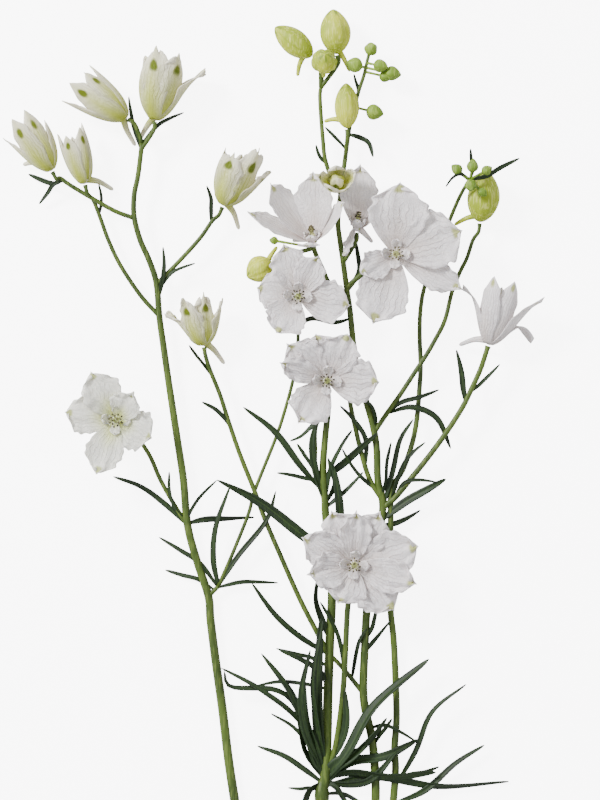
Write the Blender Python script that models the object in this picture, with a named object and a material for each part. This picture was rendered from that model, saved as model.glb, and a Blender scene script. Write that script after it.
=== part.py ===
"""Cut delphinium, loose much-branched flower stalk laid down on a flat surface.

The stalk lies along +Y with its cut end at -Y, the blooms face up (+Z) or lie on their sides.
Units are metres. Routes and tips are drawn on a sheet seen from above, see GRID.
"""
import math

import bmesh
import bpy
from mathutils import Vector
from mathutils.bvhtree import BVHTree

# Driving sizes
GRID = 0.0004              # one unit of the drawing sheet, in metres
SHEET_ORIGIN = (322, 800)  # sheet point above the part's origin; x to the right, y down
MM = 0.001
GAP = 0.0005               # clearance between a bloom and the stalk end that carries it
BLADE = 0.0007             # thickness of leaves and sepals
STRAY = 0.0006             # a vertex farther than this from its surface is put back
CRUMB = 20                 # a closed body of fewer faces is left out
DISH_RADIUS = 0.0019       # receptacle under a bloom
DISH_DEPTH = 0.0012
NECK = 0.004               # last stretch of stalk that runs straight into a bloom
KNUCKLE = 0.0031           # radius of the swollen node over the origin, flat underneath
KNUCKLE_HEIGHT = 0.0022

# Colours, linear
WHITE = (0.86, 0.85, 0.86)
CREAM = (0.78, 0.82, 0.60)
BUD_GREEN = (0.50, 0.56, 0.20)
LEAF_GREEN = (0.060, 0.115, 0.040)
ANTHER = (0.11, 0.10, 0.045)

# Stalks: name, carrier, first and last thickness in mm, points (x, y, height in mm)
STALKS = [
    ("main", None, 5.2, 2.2, [
        (312, 1212, 2.6), (311, 1100, 2.5), (312, 1000, 2.4), (314, 930, 2.3), (318, 860, 2.2),
        (322, 800, 2.1), (325, 780, 2.2), (327, 740, 2.5), (328, 700, 2.9), (330, 640, 3.6),
        (332, 600, 4.0), (331, 560, 4.3), (326, 518, 4.8), (325, 500, 5.0), (323, 470, 5.4),
        (325, 440, 5.9), (328, 408, 6.6)]),
    ("spike", "main", 3.8, 1.3, [
        (321, 960, 2.3), (350, 905, 2.2), (370, 840, 2.2), (376, 800, 2.2), (373, 745, 2.4),
        (364, 700, 2.8), (365, 650, 3.4), (368, 600, 4.0), (376, 555, 4.3), (383, 508, 4.6),
        (378, 480, 4.8), (377, 450, 5.0), (373, 425, 5.2), (365, 397, 5.4), (356, 362, 5.6),
        (353, 340, 5.7), (350, 310, 5.8), (347, 290, 5.9), (343, 260, 5.8), (340, 240, 5.6),
        (338, 220, 5.4), (341, 190, 5.2), (345, 160, 5.2), (347, 145, 5.4), (350, 125, 5.6),
        (355, 105, 5.9), (359, 90, 6.1), (364, 75, 6.4), (367, 62, 6.7), (370, 50, 7.0)]),
    ("left", "main", 4.2, 2.0, [
        (311, 1078, 2.4), (290, 1020, 2.2), (265, 950, 2.1), (245, 870, 2.0), (234, 800, 2.0),
        (228, 760, 2.0), (222, 710, 2.1), (215, 660, 2.2), (210, 620, 2.3), (208, 597, 2.5),
        (196, 560, 2.9), (187, 525, 3.2), (183, 480, 3.5), (177, 440, 3.8), (171, 400, 4.2),
        (168, 380, 4.4), (163, 345, 4.9), (159, 316, 5.2), (156, 282, 5.6), (148, 258, 5.9),
        (140, 240, 6.2), (134, 217, 6.5), (134, 195, 6.8), (138, 175, 7.2), (142, 143, 7.8)]),
    ("right", "main", 3.4, 1.4, [
        (317, 1030, 2.4), (345, 980, 2.1), (370, 920, 2.0), (388, 850, 2.0), (394, 800, 2.0),
        (396, 770, 2.1), (395, 750, 2.1), (397, 720, 2.2), (396, 680, 2.4), (394, 640, 2.7),
        (391, 610, 3.0), (391, 560, 3.5), (391, 520, 4.0), (392, 490, 4.6), (403, 470, 5.0),
        (412, 445, 5.2), (417, 420, 5.2), (420, 385, 5.0), (421, 365, 4.8), (420, 335, 4.5),
        (421, 308, 4.2), (426, 283, 4.0), (441, 243, 5.0), (455, 207, 9.0), (463, 190, 13.6),
        (469, 181, 16.4)]),
    ("branch_b7", "spike", 2.5, 2.0, [
        (384, 508, 4.8), (395, 498, 5.4), (410, 480, 6.2), (430, 455, 7.2), (448, 430, 8.0),
        (462, 408, 8.6), (470, 392, 9.0), (480, 370, 9.4)]),
    ("branch_d6", "spike", 2.1, 1.5, [
        (375, 432, 5.2), (388, 412, 6.6), (400, 395, 7.6), (415, 372, 8.2), (425, 357, 8.4),
        (435, 340, 8.3), (445, 320, 8.0), (452, 292, 7.6), (460, 272, 7.4), (467, 258, 7.4),
        (473, 240, 7.6)]),
    ("branch_c6", "main", 2.2, 1.7, [
        (330, 657, 3.4), (318, 635, 3.8), (300, 600, 4.2), (280, 555, 4.4), (265, 520, 4.6),
        (254, 490, 4.8), (240, 455, 5.2), (228, 420, 5.8), (220, 395, 6.4), (210, 370, 7.2)]),
    ("branch_b2", "main", 2.5, 2.2, [
        (328, 778, 2.2), (334, 755, 3.4), (340, 720, 5.2), (344, 680, 6.6), (346, 640, 7.4),
        (348, 605, 7.9)]),
    ("branch_side", "left", 2.0, 1.8, [(208, 597, 2.5), (213, 592, 3.0), (218, 587, 3.4)]),
    ("branch_b6", "branch_side", 1.6, 1.4, [
        (218, 587, 3.4), (232, 555, 4.0), (248, 515, 4.2), (255, 490, 4.4), (275, 440, 4.6),
        (285, 410, 4.8), (294, 375, 5.0), (298, 340, 5.6)]),
    ("branch_c3", "left", 1.9, 1.6, [
        (134, 218, 6.5), (115, 211, 6.8), (90, 197, 7.2), (70, 185, 7.6), (60, 178, 7.8)]),
    ("branch_c4", "left", 1.9, 1.6, [
        (158, 316, 5.2), (140, 295, 5.0), (120, 265, 4.8), (108, 240, 4.6), (100, 218, 4.8),
        (93, 200, 5.4)]),
    ("branch_c5", "left", 1.9, 1.6, [
        (156, 284, 5.6), (180, 260, 6.2), (200, 238, 6.8), (212, 221, 7.2)]),
    ("branch_b1", "left", 1.9, 1.7, [
        (187, 526, 3.2), (175, 507, 3.8), (160, 480, 4.6), (149, 455, 5.4), (134, 434, 6.2)]),
    ("branch_b5", "spike", 2.3, 1.9, [(348, 296, 5.9), (331, 286, 6.6), (322, 268, 7.4)]),
    ("branch_b4", "spike", 2.2, 2.0, [(347, 288, 5.9), (356, 279, 6.8), (372, 267, 7.8)]),
    ("branch_d", "spike", 1.9, 1.6, [
        (341, 192, 5.2), (331, 176, 5.6), (325, 158, 5.8), (323, 140, 5.8), (321, 115, 5.8),
        (320, 95, 5.8), (321, 87, 5.9)]),
    ("strand_left", "main", 2.0, 2.0, [
        (323, 502, 5.0), (316, 475, 5.2), (315, 450, 5.6), (316, 425, 6.2), (327, 409, 6.6)]),
    ("strand_right", "spike", 2.2, 1.8, [
        (381, 500, 4.6), (370, 480, 5.0), (362, 455, 5.4), (356, 430, 5.6), (350, 400, 5.6),
        (350, 365, 5.6), (353, 342, 5.7)]),
    ("strand_low", "spike", 2.0, 1.8, [
        (364, 695, 2.9), (352, 680, 3.0), (342, 668, 3.2), (330, 655, 3.4)]),
]

# Open blooms: carrier, centre (x, y, height), axis (degrees on the sheet, degrees up),
# spur (degrees on the sheet, length mm), sepals (x, y, height at the tip, width mm, bow mm)
BLOOMS = {
    "bloom_left": ("branch_b1", (117, 420, 11.5), (90, 90), (60, 13), [
        (93, 373, 18, 16, -1.2), (66, 412, 16, 15, -1.0), (98, 473, 17, 15, -1.5),
        (153, 438, 16, 17, -1.2), (134, 394, 19, 13, -1.0)]),
    "bloom_low": ("branch_b2", (354, 564, 13.0), (90, 90), (75, 13), [
        (303, 537, 18, 15, -1.0), (331, 510, 16, 16, -1.2), (379, 512, 17, 15, -1.2),
        (418, 545, 18, 19, -1.4), (393, 608, 15, 19, -1.4), (338, 602, 17, 18, -1.0),
        (309, 573, 19, 15, -1.0), (356, 510, 20, 13, -0.8), (414, 582, 20, 14, -0.8)]),
    "bloom_mid": ("main", (327, 381, 13.0), (90, 90), (100, 12), [
        (288, 345, 18, 16, -1.2), (316, 334, 16, 16, -1.2), (347, 335, 18, 15, -1.0),
        (379, 382, 17, 17, -1.5), (299, 422, 17, 16, -1.2), (280, 363, 20, 9, -0.8)]),
    "bloom_large": ("branch_b4", (395, 255, 15.5), (90, 90), (75, 14), [
        (399, 186, 21, 24, -1.6), (461, 232, 20, 23, -1.6), (460, 290, 18, 12, -1.2),
        (372, 325, 19, 21, -1.8), (360, 274, 21, 12, -0.8)]),
    "bloom_inner": ("branch_b6", (298, 297, 11.5), (90, 90), (180, 10), [
        (284, 246, 15, 15, -1.0), (257, 288, 14, 16, -1.0), (277, 333, 16, 17, -1.2),
        (350, 306, 15, 17, -1.2), (318, 258, 17, 13, -0.8)]),
    "bloom_upper": ("branch_b5", (313, 241, 11.0), (100, 32), (178, 8), [
        (249, 214, 18, 14, 1.0), (270, 184, 15, 15, 1.2), (313, 174, 12, 16, 1.2),
        (344, 203, 19, 13, 1.0), (306, 246, 20, 9, 1.4)]),
    "bloom_back": ("spike", (357, 229, 11.2), (85, 14), (-40, 8), [
        (360, 166, 10, 15, 1.0), (384, 196, 9, 13, 1.0), (344, 256, 11.0, 6, 0.2)]),
}

# Half-open blooms: carrier, base (x, y, height), axis (degrees on the sheet, degrees up),
# widest radius and cup length in mm, spur's direction on the sheet in degrees,
# sepals (degrees round the axis with 90 facing up, tip's distance along and from the axis in mm)
CUPS = {
    "cup_top_right": ("left", (155, 121, 9.4), (82, 0), 8.6, 22, -128, [
        (180, 24.0, 7.0), (112, 27.5, 7.0), (45, 26.0, 8.5), (-8, 22.5, 17.0), (255, 24.0, 6.5)]),
    "cup_top_left": ("left", (127, 119, 9.4), (144, 0), 8.2, 20, -70, [
        (182, 25.2, 10.5), (110, 26.3, 6.5), (50, 24.0, 8.0), (0, 24.5, 9.0), (270, 23.0, 6.5)]),
    "cup_far_left": ("branch_c3", (52, 171, 9.2), (120, 0), 8.0, 19, 170, [
        (180, 21.0, 11.5), (115, 25.0, 8.0), (62, 26.0, 6.5), (-4, 19.0, 8.0), (270, 22.0, 6.0)]),
    "cup_near_left": ("branch_c4", (85, 184, 8.6), (105, 0), 6.3, 18, -15, [
        (184, 22.0, 6.0), (112, 20.0, 6.0), (48, 22.0, 6.5), (-6, 24.0, 5.2), (265, 20.0, 5.0)]),
    "cup_right": ("branch_c5", (223, 206, 9.2), (66, 6), 8.2, 18, -60, [
        (180, 20.0, 8.0), (118, 20.0, 8.5), (52, 26.0, 7.0), (-4, 19.5, 11.0), (265, 21.0, 6.5)]),
    "cup_middle": ("branch_c6", (204, 346, 8.4), (99, 0), 6.8, 14, -45, [
        (180, 15.0, 12.5), (122, 18.5, 9.0), (62, 19.5, 6.0), (0, 16.5, 9.5), (270, 17.0, 5.5)]),
    "cup_front": ("spike", (337, 185, 12.5), (90, 74), 6.6, 9, 160, [
        (180, 9.0, 8.6), (118, 10.5, 6.0), (55, 9.5, 7.4), (-10, 10.5, 7.6), (262, 11.0, 4.0)]),
    "bloom_right": ("branch_b7", (488, 345, 10.4), (73, 0), 8.6, 21, -175, [
        (182, 20.0, 18.5), (128, 26.5, 10.5), (70, 27.0, 7.5), (14, 24.5, 17.5),
        (-22, 8.0, 20.5), (262, 24.0, 8.0)]),
}

# Closed buds: carrier, base (x, y, height), tip (x, y, height), width mm,
# spur (degrees on the sheet, length mm, drop mm)
BUDS = {
    "bud_top_right": ("branch_d", (337, 54, 7.4), (333, 9, 7.4), 12.5, (-60, 11, 3)),
    "bud_top_left": ("branch_d", (312, 56, 7.2), (275, 27, 7.4), 10.5, (-110, 10, 3)),
    "bud_top_front": ("branch_d", (323, 68, 9.0), (325, 57, 18), 10.5, (-90, 5, 1)),
    "bud_spike": ("spike", (347, 129, 10.5), (346, 84, 11.5), 10.0, (180, 9, 2)),
    "bud_left": ("branch_b5", (272, 262, 6.8), (247, 277, 8.0), 11.0, (60, 9, 3)),
    "bud_right": ("branch_d6", (480, 222, 7.0), (487, 171, 7.2), 13.2, (200, 11, 3)),
}

# Leaf lobes and bracts: carrier, width mm, height half way and at the tip in mm, points (x, y)
LEAVES = [
    ("left", 2.4, 4.0, 1.5, [(187, 526), (165, 505), (140, 487), (112, 477)]),
    ("left", 1.6, 5.5, 7.0, [(186, 524), (174, 508), (169, 490), (169, 472)]),
    ("left", 2.6, 4.0, 3.0, [(187, 524), (205, 520), (230, 519), (254, 518)]),
    ("left", 1.3, 6.0, 8.0, [(186, 522), (190, 512), (200, 497), (217, 480)]),
    ("branch_side", 2.0, 3.2, 1.2, [(218, 588), (200, 564), (180, 551), (158, 538)]),
    ("branch_side", 1.9, 2.2, 0.6, [(214, 590), (198, 580), (182, 576), (164, 571)]),
    ("branch_side", 3.2, 7.0, 9.0, [(218, 588), (213, 560), (216, 525), (230, 486)]),
    ("branch_side", 2.2, 6.0, 5.0, [(218, 588), (238, 556), (266, 521), (276, 491)]),
    ("branch_side", 1.7, 3.0, 1.0, [(217, 588), (240, 583), (258, 583), (278, 584)]),
    ("branch_c6", 1.8, 7.0, 8.5, [(230, 428), (224, 418), (215, 409), (202, 402)]),
    ("branch_c6", 1.6, 7.4, 8.0, [(213, 376), (205, 366), (197, 356), (189, 345)]),
    ("left", 1.8, 7.4, 8.6, [(158, 300), (162, 282), (164, 265), (163, 247)]),
    ("left", 1.6, 7.0, 8.0, [(158, 292), (166, 278), (176, 270), (195, 263)]),
    ("branch_c5", 1.7, 8.4, 9.5, [(211, 222), (211, 208), (211, 198), (207, 186)]),
    ("branch_c3", 2.2, 4.2, 2.5, [(63, 181), (53, 183), (42, 180), (27, 173)]),
    ("branch_c3", 1.8, 6.0, 2.5, [(63, 181), (53, 184), (47, 192), (38, 203)]),
    ("branch_c4", 1.5, 6.5, 8.0, [(99, 214), (101, 204), (101, 195), (99, 184)]),
    ("main", 4.4, 7.0, 8.0, [(331, 556), (302, 535), (262, 504), (217, 480)]),
    ("strand_left", 2.8, 7.0, 9.0, [(319, 489), (300, 465), (275, 432), (243, 407)]),
    ("strand_left", 1.7, 6.0, 5.0, [(317, 481), (303, 478), (290, 475), (277, 473)]),
    ("strand_left", 1.9, 7.0, 8.0, [(316, 474), (309, 462), (303, 453), (297, 444)]),
    ("main", 2.0, 7.0, 8.0, [(327, 412), (313, 425), (301, 436), (290, 441)]),
    ("main", 3.2, 7.0, 8.0, [(323, 478), (342, 465), (360, 449), (378, 433)]),
    ("strand_right", 2.0, 7.0, 8.5, [(365, 468), (366, 440), (354, 420), (340, 406)]),
    ("main", 2.2, 8.0, 10.0, [(325, 506), (335, 485), (332, 472), (328, 458)]),
    ("main", 2.2, 7.0, 9.0, [(325, 508), (342, 494), (354, 482), (363, 472)]),
    ("spike", 3.6, 7.5, 9.0, [(382, 520), (405, 502), (426, 490), (446, 479)]),
    ("spike", 2.2, 4.0, 2.5, [(382, 526), (395, 524), (407, 519), (421, 511)]),
    ("spike", 2.2, 8.5, 10.0, [(383, 508), (393, 470), (400, 440), (413, 419)]),
    ("spike", 1.8, 9.0, 11.0, [(382, 498), (386, 480), (387, 462), (391, 442)]),
    ("branch_b7", 1.8, 9.0, 10.5, [(390, 502), (402, 468), (412, 453), (425, 442)]),
    ("spike", 1.9, 7.0, 8.0, [(380, 494), (362, 478), (350, 463), (342, 449)]),
    ("branch_b7", 1.5, 8.0, 9.0, [(394, 498), (404, 483), (418, 480), (436, 482)]),
    ("branch_d6", 2.6, 9.0, 6.0, [(387, 414), (412, 407), (437, 418), (451, 449)]),
    ("branch_d6", 1.9, 9.0, 9.0, [(388, 411), (402, 402), (420, 397), (439, 390)]),
    ("spike", 1.9, 7.0, 8.5, [(374, 432), (376, 418), (370, 404), (355, 397)]),
    ("branch_b7", 2.4, 9.5, 11.0, [(465, 402), (463, 388), (461, 372), (456, 350)]),
    ("branch_b7", 1.5, 9.0, 8.0, [(470, 393), (478, 386), (486, 378), (500, 364)]),
    ("spike", 2.0, 7.0, 8.5, [(350, 134), (360, 137), (369, 143), (373, 157)]),
    ("spike", 1.5, 6.4, 7.0, [(349, 150), (341, 143), (334, 136), (325, 127)]),
    ("spike", 1.4, 6.6, 7.4, [(359, 92), (358, 87), (356, 81), (354, 74)]),
    ("branch_b5", 2.0, 6.0, 4.5, [(333, 287), (324, 286), (315, 277), (305, 271)]),
    ("spike", 2.0, 4.4, 3.5, [(346, 292), (359, 272), (358, 255), (354, 234)]),
    ("spike", 2.2, 6.0, 5.0, [(351, 318), (335, 322), (312, 318), (292, 328)]),
    ("main", 4.8, 9.0, 8.0, [(325, 782), (347, 752), (374, 705), (429, 659)]),
    ("main", 4.0, 5.5, 3.0, [(325, 786), (350, 763), (385, 757), (419, 741)]),
    ("main", 3.4, 4.6, 1.0, [(324, 788), (375, 778), (440, 788), (510, 784)]),
    ("main", 3.0, 8.0, 5.0, [(325, 784), (307, 738), (292, 695), (261, 654)]),
    ("main", 2.4, 9.5, 7.0, [(324, 780), (302, 724), (262, 690), (221, 668)]),
    ("main", 2.8, 11.0, 14.0, [(326, 776), (307, 735), (301, 695), (310, 649)]),
    ("main", 3.0, 11.0, 15.0, [(326, 772), (316, 720), (313, 675), (323, 619)]),
    ("main", 2.3, 3.0, 0.8, [(324, 786), (303, 770), (283, 757), (257, 748)]),
    ("main", 1.5, 2.0, 0.6, [(323, 792), (310, 790), (300, 791), (288, 790)]),
    ("main", 1.6, 4.0, 3.0, [(326, 764), (308, 744), (292, 727), (271, 715)]),
    ("main", 3.0, 4.0, 1.0, [(321, 796), (345, 796), (368, 812), (384, 836)]),
    ("right", 2.2, 6.0, 9.0, [(396, 790), (416, 752), (432, 712), (466, 684)]),
    ("right", 2.6, 4.5, 4.0, [(393, 806), (425, 792), (455, 765), (485, 746)]),
    ("right", 1.9, 3.0, 1.4, [(396, 782), (412, 776), (425, 774), (440, 769)]),
    ("spike", 1.8, 5.5, 7.0, [(373, 748), (380, 736), (386, 728), (392, 719)]),
    ("spike", 1.6, 7.0, 8.0, [(369, 730), (385, 726), (400, 732), (417, 742)]),
    ("main", 2.6, 5.5, 4.0, [(330, 656), (300, 637), (275, 615), (252, 584)]),
    ("main", 1.6, 3.4, 1.6, [(329, 668), (312, 659), (296, 655), (276, 650)]),
    ("main", 1.6, 2.6, 0.8, [(328, 690), (305, 685), (280, 683), (254, 688)]),
    ("strand_low", 2.0, 5.0, 7.5, [(344, 670), (341, 648), (334, 626), (320, 602)]),
    ("strand_low", 1.8, 5.0, 6.5, [(352, 680), (356, 655), (360, 640), (367, 629)]),
    ("spike", 1.9, 5.0, 6.0, [(365, 654), (373, 643), (382, 632), (391, 621)]),
    ("spike", 1.7, 6.0, 7.0, [(366, 640), (372, 629), (375, 617), (378, 604)]),
    ("right", 2.0, 17.6, 17.0, [(469, 182), (485, 178), (500, 169), (518, 160)]),
    ("right", 1.5, 17.0, 18.0, [(469, 182), (472, 171), (470, 161), (469, 151)]),
    ("right", 1.4, 16.4, 15.4, [(468, 183), (460, 176), (452, 179), (445, 188)]),
    ("left", 1.6, 8.6, 9.5, [(142, 150), (134, 128), (131, 112), (129, 97)]),
    ("left", 1.6, 8.6, 9.0, [(144, 140), (157, 126), (169, 119), (184, 113)]),
    ("branch_d", 1.4, 6.6, 7.6, [(324, 164), (321, 158), (318, 152), (316, 145)]),
]

# Young green buds near the spike's top: carrier, bud (x, y, height), width mm
YOUNG_BUDS = [
    ("spike", (371, 49, 8.0), 5.6), ("spike", (355, 65, 7.6), 6.4), ("spike", (380, 66, 9.2), 5.6),
    ("spike", (392, 73, 7.4), 6.2), ("spike", (385, 76, 6.6), 4.8), ("spike", (374, 112, 8.2), 6.6),
    ("right", (456, 171, 15.6), 4.6), ("right", (471, 168, 17.2), 5.0),
    ("right", (485, 172, 17.4), 4.2), ("right", (469, 187, 18.2), 5.0),
    ("right", (481, 194, 18.0), 3.6),
    ("branch_b5", (274, 240, 3.4), 3.4),
]


def sheet(x, y, height=0.0):
    """Point in metres for a drawing point and a height in millimetres."""
    return Vector(((x - SHEET_ORIGIN[0]) * GRID, (SHEET_ORIGIN[1] - y) * GRID, height * MM))


def heading(degrees, up=0.0):
    """Unit direction from an angle on the sheet and an angle above it."""
    a, b = math.radians(degrees), math.radians(up)
    return Vector((math.cos(a) * math.cos(b), math.sin(a) * math.cos(b), math.sin(b)))


def smooth_route(points, per_span=6):
    """Points along a Catmull-Rom curve through the given ones."""
    if len(points) < 3:
        return list(points)
    ends = [points[0] * 2 - points[1]] + list(points) + [points[-1] * 2 - points[-2]]
    out = []
    for i in range(1, len(ends) - 2):
        a, b, c, d = ends[i - 1], ends[i], ends[i + 1], ends[i + 2]
        for k in range(per_span):
            t = k / per_span
            out.append(0.5 * (2 * b + (c - a) * t + (2 * a - 5 * b + 4 * c - d) * t * t
                              + (3 * b - a - 3 * c + d) * t ** 3))
    out.append(points[-1].copy())
    return out


def at_fraction(route, f):
    """Point at a fraction of a route's length."""
    spans = [(b - a).length for a, b in zip(route, route[1:])]
    left = max(0.0, min(1.0, f)) * sum(spans)
    for (a, b), span in zip(zip(route, route[1:]), spans):
        if left <= span or b is route[-1]:
            return a.lerp(b, min(1.0, left / max(span, 1e-9)))
        left -= span
    return route[-1].copy()


def thinned(route, tolerance):
    """The fewest of a route's points that keep it within the tolerance."""
    a, b = route[0], route[-1]
    chord = (b - a)
    worst, where = 0.0, 0
    for i in range(1, len(route) - 1):
        t = max(0.0, min(1.0, (route[i] - a).dot(chord) / max(chord.length_squared, 1e-12)))
        off = (route[i] - (a + chord * t)).length
        if off > worst:
            worst, where = off, i
    if worst < tolerance:
        return [a, b]
    return thinned(route[:where + 1], tolerance)[:-1] + thinned(route[where:], tolerance)


def nearest_on(route, point):
    """Nearest point to the given one on a route's centreline."""
    best, found = 1e9, route[0]
    for a, b in zip(route, route[1:]):
        ab = b - a
        t = max(0.0, min(1.0, (point - a).dot(ab) / max(ab.length_squared, 1e-12)))
        q = a + ab * t
        if (q - point).length < best:
            best, found = (q - point).length, q
    return found


def new_object(name, mesh, collection, material=None):
    """Object from a mesh, linked to a collection."""
    ob = bpy.data.objects.new(name, mesh)
    collection.objects.link(ob)
    if material:
        mesh.materials.clear()
        mesh.materials.append(material)
    return ob


def surface_material(name, colour, roughness):
    """Principled material in one colour."""
    mat = bpy.data.materials.new(name)
    mat.use_nodes = True
    shader = mat.node_tree.nodes["Principled BSDF"]
    shader.inputs["Base Color"].default_value = (*colour, 1.0)
    shader.inputs["Roughness"].default_value = roughness
    shader.inputs["Metallic"].default_value = 0.0
    return mat


def tube(name, points, first_radius, last_radius, collection, sides=1, power=1.0):
    """Round stalk through the points, as a closed mesh. The radius runs from first to last."""
    curve = bpy.data.curves.new(name, "CURVE")
    curve.dimensions = "3D"
    curve.bevel_depth = 1.0
    curve.bevel_resolution = sides
    curve.use_fill_caps = True
    spline = curve.splines.new("POLY")
    spline.points.add(len(points) - 1)
    total = sum((b - a).length for a, b in zip(points, points[1:]))
    run = 0.0
    for i, p in enumerate(points):
        if i:
            run += (p - points[i - 1]).length
        spline.points[i].co = (*p, 1.0)
        f = (run / total) ** power
        spline.points[i].radius = first_radius + (last_radius - first_radius) * f
    guide = bpy.data.objects.new(name + "_route", curve)
    collection.objects.link(guide)
    graph = bpy.context.evaluated_depsgraph_get()
    mesh = bpy.data.meshes.new_from_object(guide.evaluated_get(graph))
    bm = bmesh.new()
    bm.from_mesh(mesh)
    bmesh.ops.remove_doubles(bm, verts=bm.verts, dist=0.000005)
    bmesh.ops.triangulate(bm, faces=bm.faces)
    bmesh.ops.recalc_face_normals(bm, faces=bm.faces)
    bm.to_mesh(mesh)
    bm.free()
    ob = new_object(name, mesh, collection)
    ob.matrix_world = guide.matrix_world
    bpy.data.objects.remove(guide)
    return ob


def shaped_grid(name, along, across, place, collection, thickness=BLADE):
    """Thin closed blade. place(u, v) gives the middle surface, u from 0 to 1, v from -1 to 1."""
    bm = bmesh.new()
    bmesh.ops.create_grid(bm, x_segments=along, y_segments=across, size=1.0)
    bmesh.ops.triangulate(bm, faces=bm.faces)
    for v in bm.verts:
        v.co = place((v.co.x + 1) / 2, v.co.y)
    bm.normal_update()
    rim = [e for e in bm.edges if len(e.link_faces) == 1]
    front = bm.faces[:]
    under = {}
    for v in bm.verts[:]:
        lean = min(v.normal.dot(f.normal) for f in v.link_faces)
        under[v] = bm.verts.new(v.co - v.normal * thickness / max(lean, 0.6))
    for f in front:
        bm.faces.new([under[v] for v in reversed(f.verts)])
    for e in rim:
        a, b = e.verts
        bm.faces.new((a, b, under[b]))
        bm.faces.new((a, under[b], under[a]))
    bmesh.ops.recalc_face_normals(bm, faces=bm.faces)
    mesh = bpy.data.meshes.new(name)
    bm.to_mesh(mesh)
    bm.free()
    return new_object(name, mesh, collection)


def outline(u, root, widest, tip):
    """Share of the full width at u, from the root's share to the tip's."""
    if u <= widest:
        return root + (1 - root) * math.sin(math.pi / 2 * u / widest)
    return tip + (1 - tip) * math.sqrt(max(0.0, 1 - ((u - widest) / (1 - widest)) ** 2))


def sepal(name, centre, axis, tip, width, bow, collection, along=4, across=2, ruffle=0.0,
          cup=0.10, foot=0.0012, cling=0.5):
    """Sepal from the receptacle's rim to its tip. A positive bow bulges away from the axis."""
    reach = tip - centre
    out = reach - axis * reach.dot(axis)
    out.normalize()
    start = centre + out * foot
    line = tip - start
    d = line.normalized()
    cos_f = d.dot(axis)
    sin_f = math.sqrt(max(0.0, 1 - cos_f * cos_f))
    inward = (axis * sin_f - out * cos_f).normalized()
    side = d.cross(inward).normalized()
    half = width * MM / 2

    def place(u, v):
        share = outline(u, max(0.24, 0.9 / width * 2), 0.62, 0.24)
        p = start + line * u
        p -= inward * (bow * MM * 4 * u * (1 - u))
        p += inward * (cup * width * MM * v * v * share * (1 - cling * u))
        p += inward * (ruffle * MM * math.sin(3.1 * v + 7.0 * u + width) * u)
        return p + side * (half * share * v)

    return shaped_grid(name, along, across, place, collection)


def cup_sepal(name, base, up, wide, length, sepal_tip, layer, collection):
    """Sepal that wraps round a half-open bloom's axis. Its side view is one cubic curve."""
    turn, along_tip, out_tip = sepal_tip
    across_way = Vector((up.y, -up.x, 0)).normalized()
    lift = across_way.cross(up)
    lift = lift if lift.z > 0 else -lift
    corners = ((1.5, 0.4), (wide * 0.98, length * 0.22), (wide * 1.1, length * 0.80),
               (out_tip, along_tip))

    def place(u, v):
        w = 1 - u
        share = (w ** 3, 3 * w * w * u, 3 * w * u * u, u ** 3)
        out = sum(k * c[0] for k, c in zip(share, corners))
        rise = sum(k * c[1] for k, c in zip(share, corners))
        half = wide * 0.80 * outline(u, 0.34, 0.56, 0.20)
        a = math.radians(turn) + v * half / max(out, 2.0)
        out += layer * 0.4 - 0.8 * v * v * u
        rise -= 1.2 * v * v * u
        way = across_way * math.cos(a) + lift * math.sin(a)
        flat = 0.94
        p = up * rise + way * out
        return base + (p + lift * (p.dot(lift) * (flat - 1))) * MM

    return shaped_grid(name, 4, 3, place, collection)


def leaf(name, points, width, collection, lean):
    """Narrow pointed leaf lobe with a keel, from inside its stalk to the tip."""
    route = smooth_route(points, 8)
    length = sum((b - a).length for a, b in zip(route, route[1:]))
    along = 4 if length < 0.022 else 6

    def place(u, v):
        p = at_fraction(route, u)
        t = (at_fraction(route, u + 0.03) - at_fraction(route, u - 0.03)).normalized()
        s = t.cross(Vector((0, 0, 1))).normalized()
        n = s.cross(t).normalized()
        s = s * math.cos(lean) + n * math.sin(lean)
        n = s.cross(t).normalized()
        share = outline(u, max(0.42, 1.0 / width), 0.35, max(0.16, 0.45 / width))
        p -= n * (0.16 * width * MM * share * (1 - abs(v)))
        return p + s * (width * MM / 2 * share * v)

    return shaped_grid(name, along, 2 if width > 2.5 else 1, place, collection)


def turned(name, base, tip, radius_at, collection, rings, sides, grooves=0, depth=0.0):
    """Closed bud about the line from base to tip. radius_at(t) gives its radius in metres."""
    bm = bmesh.new()
    bmesh.ops.create_uvsphere(bm, u_segments=sides, v_segments=rings, radius=1.0)
    axis = tip - base
    turn = axis.to_track_quat("Z", "Y")
    for v in bm.verts:
        t = (v.co.z + 1) / 2
        t = 0.5 - 0.5 * math.cos(math.pi * (math.acos(max(-1, min(1, 1 - 2 * t))) / math.pi))
        angle = math.atan2(v.co.y, v.co.x)
        r = radius_at(t)
        if grooves:
            r *= 1 - depth * (0.5 + 0.5 * math.cos(grooves * angle))
        if t < 1e-6 or t > 1 - 1e-6:
            r = 0.0
        v.co = base + axis * t + turn @ Vector((r * math.cos(angle), r * math.sin(angle), 0))
    bmesh.ops.triangulate(bm, faces=bm.faces)
    bmesh.ops.recalc_face_normals(bm, faces=bm.faces)
    mesh = bpy.data.meshes.new(name)
    bm.to_mesh(mesh)
    bm.free()
    return new_object(name, mesh, collection)


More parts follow.
